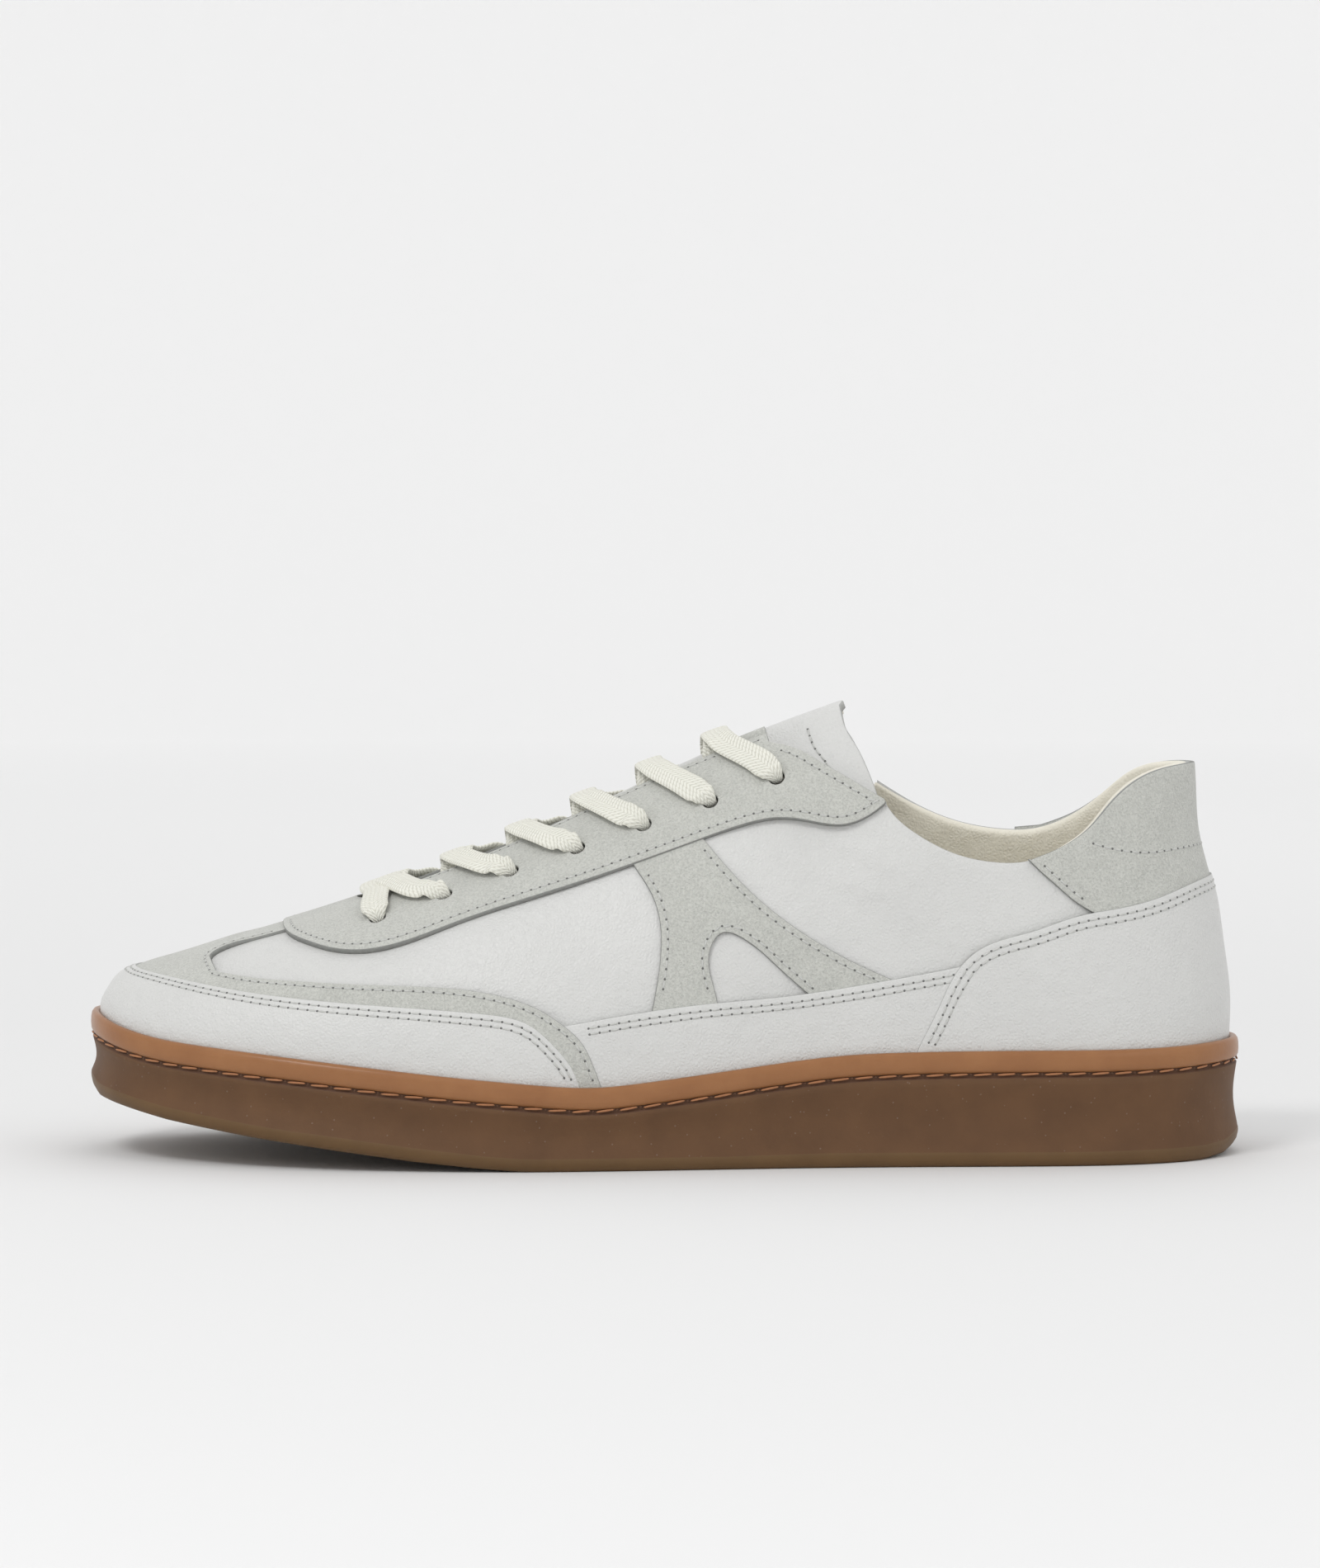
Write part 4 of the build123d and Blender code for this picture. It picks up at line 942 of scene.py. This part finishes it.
def make_heel():
    """The white heel foxing and the suede tab above it."""
    heel_l, heel_m = both(REAR, HEEL_TOP)
    heel_top = over(heel_l, heel_m[::-1])
    low_l, low_m = (margin(REAR, 62, HEEL_X, side) for _, side in SIDES)
    heel = over(heel_top, low_m, low_l[::-1])
    panel("heel_foxing_panel", REAR, heel, *WHITE, *HEEL, edge=white_edge, replaces=["heel_foxing"])
    seam_rows("heel_foxing_stitches", REAR, heel_top, heel, (1.7, 3.4), HEEL[0], trim=(2, 2))

    fronts = seam(REAR, TAB_FRONT, -1), seam(REAR, MEDIAL_TAB_FRONT, 1)
    feet = both(REAR, lowered(HEEL_TOP[8:], 4))
    tops = seam(REAR, TOPLINE[6:], -1), seam(REAR, MEDIAL_TOPLINE[4:], 1)[2:]
    tab = over(fronts[0], feet[0], feet[1][::-1], fronts[1][::-1], tops[1], tops[0][::-1])
    panel("heel_tab_panel", REAR, tab, *SUEDE, *TAB, edge=raw, replaces=["heel_tab"])
    for (name, _), front in zip(SIDES, fronts):
        seam_rows(f"heel_tab_stitches_{name}", REAR, front, tab, (1.7,), TAB[0], trim=(1, 1))
    row_l, row_m = both(REAR, TAB_ROW)
    seam_rows("heel_tab_curve_stitches", REAR, over(row_l, row_m[::-1]), tab, ON_LINE, TAB[0])


# ---- collar and tongue ----
def make_collar():
    """The padded collar rolls over the topline and runs down inside as the lining."""
    lines = [seam(REAR, TOPLINE, -1), seam(REAR, MEDIAL_TOPLINE, 1)[::-1]]
    top = resampled(over(*lines), 1.6, REAR, False)
    count = len(top)
    p, _, _, n = REAR.frame(top)
    up = np.cross(n, unit(np.gradient(p, axis=0)))
    up *= np.sign(up[:, 2:3])
    pad = smooth(p[:, 0], 56, 74)
    outer, inner = 1.7, 3.7 + 2.3 * pad
    radius = (inner - outer) / 2
    rings = []
    for a in np.linspace(0, math.pi, 9):
        depth = outer + radius * (1 - np.cos(a))
        rings.append(p - n * depth[:, None] + up * (radius * np.sin(a) * 0.55 - 0.95)[:, None])
    steps = np.concatenate([np.linspace(0.03, 0.5, 12), np.linspace(0.56, 1, 8)])
    wrinkle = np.sin(np.arange(count) * 0.9) * np.sin(np.arange(count) * 0.37 + 1)

    def down(s, depth):
        """The topline moved down a share s of the way to the footbed."""
        q = top.copy()
        q[:, 1] = top[:, 1] * (1 - s) + COLLAR_FOOT_Z * s
        return REAR.lifted(q, depth)

    for s in steps:
        swell = 0.9 * pad * math.sin(math.pi * min(s * 2.2, 1)) + 0.12 * wrinkle * (1 - s)
        rings.append(down(s, inner + swell))
    rings += [down(s, np.minimum(inner - 0.7, 5.1)) for s in steps[::-1]]
    total = len(rings)
    faces = [[k * count + i, j * count + i, j * count + i + 1, k * count + i + 1]
             for k, j in zip(range(total), [*range(1, total), 0]) for i in range(count - 1)]
    faces.append([k * count for k in range(total)][::-1])
    faces.append([k * count + count - 1 for k in range(total)])
    collar = make_object("padded_collar", np.concatenate(rings), faces, [cream], "upper")
    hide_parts("collar_lining", "collar_foam")


def tongue_depth(p):
    """Shallow along the tongue's middle, deep at its wings, and rising at its free end."""
    off = np.abs(p[:, 1] - centre(p[:, 0]))
    lift = smooth(p[:, 0], 27, 41)
    crown = (1 - smooth(off, 2.5, 8 + 12 * lift)) * smooth(p[:, 0], THROAT_FRONT_X + 3, THROAT_FRONT_X + 17)
    return 5.9 - 3.75 * crown - lift * (1.4 - 1.4 * crown)


def make_tongue():
    """White leather over a soft pad, with a stitched top band, a lining and a plain woven label."""
    tops, wings = both(FRONT, TONGUE_TOP), both(FRONT, TONGUE_WING)
    tongue = over(tops[0], wings[0], wings[1][::-1], tops[1][::-1])
    face = panel("tongue_face", FRONT, tongue, *WHITE, tongue_depth, 2.2, edge=white_edge, body="tongue",
                 bevel=0.7, replaces=["tongue"])
    inner = FRONT.inset(resampled(tongue, 1.2, FRONT, True), TONGUE_INSET)
    panel("tongue_back", FRONT, inner, *LINED, lambda p: tongue_depth(p) + 2.25, 1.2, body="tongue",
          bevel=0.5, replaces=["tongue_lining", "tongue_foam"])
    for name, side in SIDES:
        seam_rows(f"tongue_stitches_{name}", FRONT, seam(FRONT, TONGUE_ROW, side), tongue, ON_LINE,
                  tongue_depth, body="tongue")
    corners = np.array([(12, -5.5), (26, -5.5), (26, 6), (12, 6)])
    plan = over(*[np.linspace(corners[k], corners[(k + 1) % 4], 12, endpoint=False) for k in range(4)])
    label = on_plan(FRONT, plan[:, 0], plan[:, 1], np.sign(plan[:, 1]))
    panel("tongue_label_patch", FRONT, label, *SUEDE, lambda p: tongue_depth(p) - 0.45, 0.5, edge=raw,
          body="tongue", bevel=0.15, replaces=["tongue_label"])


# ---- the lace: stations are a place, an outward normal and a width ----
LACE_WIDE, LACE_THICK, RIDE, TUCK = 7.4, 1.5, -1.15, 4.35
TAIL_PATH = [(37.5, 93, 5.0, 0.0), (43, 88.5, 4.6, 0.1), (48, 82.5, 3.6, 0.7), (51, 76.5, 2.4, 1.1),
             (52.3, 71, 1.4, 1.1), (53, 66, 1.4, 1.1), (53.6, 61, 1.4, 1.1), (54.1, 56.5, 1.4, 1.1)]
TIP_PROFILE = [(-8.2, 1.0), (-8.0, 1.25), (0, 1.3), (2.4, 1.25), (2.75, 0.9)]


def top_normal(x, y, step=0.1):
    return unit(np.array([-(top_z(x + step, y) - top_z(x - step, y)) / (2 * step),
                          -(top_z(x, y + step) - top_z(x, y - step)) / (2 * step), 1.0]))


def eyelet(row, side):
    x, z = eyelet_place(row)
    y = float(side_y(x, z, side))
    return np.array([x, y, z]), top_normal(x, y)


def on_top(x, off_centre, depth):
    """A station over or under the top surface, off the centre line by off_centre."""
    y = float(centre(x)) + off_centre
    n = top_normal(x, y)
    return np.array([x, y, float(top_z(x, y))]) - depth * n, n, LACE_WIDE


def through_hole(row, side, depth, toward=0.0, wide=3.2):
    """A station at an eyelet, moved toward the centre line."""
    at, n = eyelet(row, side)
    inward = np.array([0.0, -side, 0.0])
    inward = unit(inward - n * (inward @ n))
    return at - depth * n + toward * inward, n, wide


def dive(row, side, slant=1.0):
    """From on top of the eyestay, slanting to an eyelet, down through it, and back under the edge."""
    come = []
    reach = slant * (7.8 - 0.7 * row)
    for depth, toward, wide, part in ((0.5, 6.0, 7.4, 1.0), (0.6, 3.0, 7.2, 0.52), (0.7, 1.2, 6.0, 0.23)):
        at, n, wide = through_hole(row, side, RIDE - depth, toward, wide)
        come.append((at - reach * part * np.array([0.94, 0, 0.34]), n, wide))
    return come + [through_hole(row, side, 0.2, -0.1), through_hole(row, side, 2.0),
                   through_hole(row, side, 3.7, 0.2), through_hole(row, side, TUCK + 0.15, 1.8, 3.4),
                   through_hole(row, side, TUCK, 5.0, 5.0)]


def crossing(row, side, depth):
    """From under one edge at a row, over the tongue, to the other edge on the way to the next row."""
    x0, x1 = eyelet(row, side)[0][0], eyelet(row + 1, -side)[0][0]
    edge = THROAT_HALF + 1
    places = [(0.05, 9, 2.7), (0.1, 6, depth + 0.4), (0.12, 0, depth - 0.3), (0.15, -6, depth - 0.5),
              (0.21, -9.5, RIDE - 1.2), (0.30, -edge, RIDE - 0.9)]
    return [on_top(x0 + 0.2, side * (edge - 0.5), TUCK - 0.1)] + [
        on_top(x0 + share * (x1 - x0), side * off, below) for share, off, below in places]


def strand(side):
    """Half the lace: from the bar's middle, into eyelet 1 on one side, and up to its tail."""
    stations = [on_top(EYELET_FIRST[0] - 0.6, side * 11, RIDE - 0.5)] + dive(0, side, 0.0)
    for row in range(EYELET_ROWS - 1):
        here = side if row % 2 == 0 else -side
        stations += crossing(row, here, 0.0 if here < 0 else -1.7)
        stations += dive(row + 1, -here)
    tail = []
    for x, z, wide, deeper in TAIL_PATH:
        y = float(side_y(x, z, side))
        dx = np.array([0.2, float(side_y(x + 0.1, z, side) - side_y(x - 0.1, z, side)), 0])
        dz = np.array([0, float(side_y(x, z + 0.1, side) - side_y(x, z - 0.1, side)), 0.2])
        n = np.cross(dx, dz)
        n *= np.sign(n[1] * side) / np.linalg.norm(n)
        tail.append((np.array([x, y, z]) - (TUCK + deeper) * n, n, wide))
    return stations[:-2] + tail


def make_lace():
    """One flat braided band, laced across from tail to tail, with a plastic tip on each end."""
    bar = [on_top(EYELET_FIRST[0] - back, off, RIDE - up)
           for back, off, up in ((1.5, 7.0, 0.6), (1.8, 0.0, 0.9), (1.5, -7.0, 0.6))]
    stations = strand(1)[::-1] + bar + strand(-1)
    at = np.array([s[0] for s in stations])
    run = run_of(at, 0.5)
    fine = np.unique(np.concatenate([np.linspace(a, b, 6, endpoint=False) for a, b in zip(run, run[1:])]))
    curves = [spline(list(zip(run, at[:, k]))) for k in range(3)]
    place = np.stack([curve(fine) for curve in curves], -1)
    ahead = unit(np.stack([curve(fine + 0.02) - curve(fine - 0.02) for curve in curves], -1))
    rise = (EYELET_LAST[1] - EYELET_FIRST[1]) / (EYELET_LAST[0] - EYELET_FIRST[0])
    across = np.tile(np.array([1, 0, rise]) / math.hypot(1, rise), (len(fine), 1))
    across = unit(across - ahead * (across * ahead).sum(1, keepdims=True))
    up = np.cross(ahead, across)
    width = np.interp(fine, run, np.array([s[2] for s in stations]))
    length = run_of(place)
    a = np.linspace(0, 2 * math.pi, 20, endpoint=False)
    flat_x = np.sign(np.cos(a)) * np.abs(np.cos(a)) ** 0.55 / 2
    flat_y = np.sign(np.sin(a)) * np.abs(np.sin(a)) ** 0.75 / 2
    points = [p + w * width[i] * flat_x[:, None] + u * LACE_THICK * flat_y[:, None]
              for i, (p, w, u) in enumerate(zip(place, across, up))]
    uv = [np.column_stack([flat_x * 6.0, np.full(len(a), length[i])]) for i in range(len(place))]
    faces = ring_faces(len(place), len(a)) + end_faces(len(place), len(a))
    lace = make_object("flat_lace", np.concatenate(points), faces, [lace_cotton], "upper",
                       uv=np.concatenate(uv))
    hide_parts("lace")
    for name, node, end, forward in (("lace_tip_medial", "aglet_medial", 0, -1),
                                     ("lace_tip_lateral", "aglet_lateral", -1, 1)):
        rings = [place[end] + forward * t * ahead[end]
                 + r * (np.cos(a)[:, None] * across[end] + np.sin(a)[:, None] * up[end])
                 for t, r in TIP_PROFILE]
        faces = ring_faces(len(rings), len(a)) + end_faces(len(rings), len(a))
        tip = make_object(name, np.concatenate(rings), faces, [lace_tip], "upper")
        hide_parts(node)


# ---- camera, light and floor, in metres ----
CAMERA_LENS, CAMERA_PLACE, CAMERA_TILT = 128.75, (-0.0004, -1.450, 0.171), 87
SKY_STRENGTH = 0.80
FLOOR_FLAT, FLOOR_BEND, FLOOR_TOP = 2.4, 0.6, 1.3
LIGHTS = [("key", (-0.7, -1.1, 1.5), (0, 0, 0.04), 0.6, 9.5),
          ("fill", (1.1, -1.0, 0.9), (0, 0, 0.05), 1.0, 1.2),
          ("back", (0.2, 1.2, 1.3), (0, 0, 0.05), 1.0, 2.0)]


def area_light(name, place, target, size, power):
    light = bpy.data.lights.new(name, "AREA")
    light.shape = "DISK"
    light.size = size
    light.energy = power
    lamp = bpy.data.objects.new(name, light)
    bpy.context.scene.collection.objects.link(lamp)
    lamp.location = place
    direction = mathutils.Vector(target) - mathutils.Vector(place)
    lamp.rotation_euler = direction.to_track_quat("-Z", "Y").to_euler()


def make_floor():
    """A pale dish whose rim curves up far away, and which glows a little more with distance."""
    m = Finish("studio_floor")
    far = m.node("VectorMath", {0: m.place}, operation="LENGTH").outputs["Value"]
    glow = m.node("MapRange", {"Value": far, "From Min": 0.4, "From Max": 2.4, "To Min": 0.0, "To Max": 0.17})
    m.feed(m.tree.nodes["Principled BSDF"], {"Base Color": (0.80, 0.80, 0.80, 1), "Roughness": 0.9,
                                             "Emission Strength": glow.outputs["Result"],
                                             "Emission Color": (1, 1, 1, 1)})
    profile = [(0.02, 0.0), (0.5, 0.0), (1.4, 0.0)]
    profile += [(FLOOR_FLAT + FLOOR_BEND * math.sin(a), FLOOR_BEND * (1 - math.cos(a)))
                for a in np.linspace(0, math.pi / 2, 14)]
    profile.append((FLOOR_FLAT + FLOOR_BEND, FLOOR_TOP))
    around = 96
    points = [(r * math.cos(a), r * math.sin(a), z) for r, z in profile
              for a in np.linspace(0, 2 * math.pi, around, endpoint=False)]
    faces = ring_faces(len(profile), around) + [list(range(around))[::-1]]
    mesh = bpy.data.meshes.new("studio_floor")
    mesh.from_pydata(points, [], [f[::-1] for f in faces])
    mesh.materials.append(m.material)
    mesh.polygons.foreach_set("use_smooth", [True] * len(faces))
    floor = bpy.data.objects.new("studio_floor", mesh)
    bpy.context.scene.collection.objects.link(floor)


def make_studio():
    scene = bpy.context.scene
    camera = bpy.data.objects.new("camera", bpy.data.cameras.new("camera"))
    camera.data.lens = CAMERA_LENS
    camera.location = CAMERA_PLACE
    camera.rotation_euler = (math.radians(CAMERA_TILT), 0, 0)
    scene.collection.objects.link(camera)
    scene.camera = camera
    scene.view_settings.view_transform = "Standard"

    world = bpy.data.worlds.new("studio")
    world.use_nodes = True
    world.node_tree.nodes["Background"].inputs["Color"].default_value = (1, 1, 1, 1)
    world.node_tree.nodes["Background"].inputs["Strength"].default_value = SKY_STRENGTH
    scene.world = world
    make_floor()
    for light in LIGHTS:
        area_light(*light)


def paint_inner_parts():
    """The stiffeners and boards that stay hidden inside keep their CAD shape and get a finish."""
    card = plain("stiffener_board", (0.55, 0.47, 0.36), 0.85)
    for node in ("lasting_board", "midsole_filler", "toe_puff", "eyelet_stay_lateral", "eyelet_stay_medial",
                 "heel_counter"):
        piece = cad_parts[node]
        piece.data.materials.clear()
        piece.data.materials.append(card)


make_sole()
make_sole_stitches()
make_footbed()
make_toe()
make_eyestay()
make_vamp()
for side_name, side_sign in SIDES:
    make_side(side_name, side_sign)
make_heel()
make_collar()
make_tongue()
make_lace()
paint_inner_parts()
make_studio()
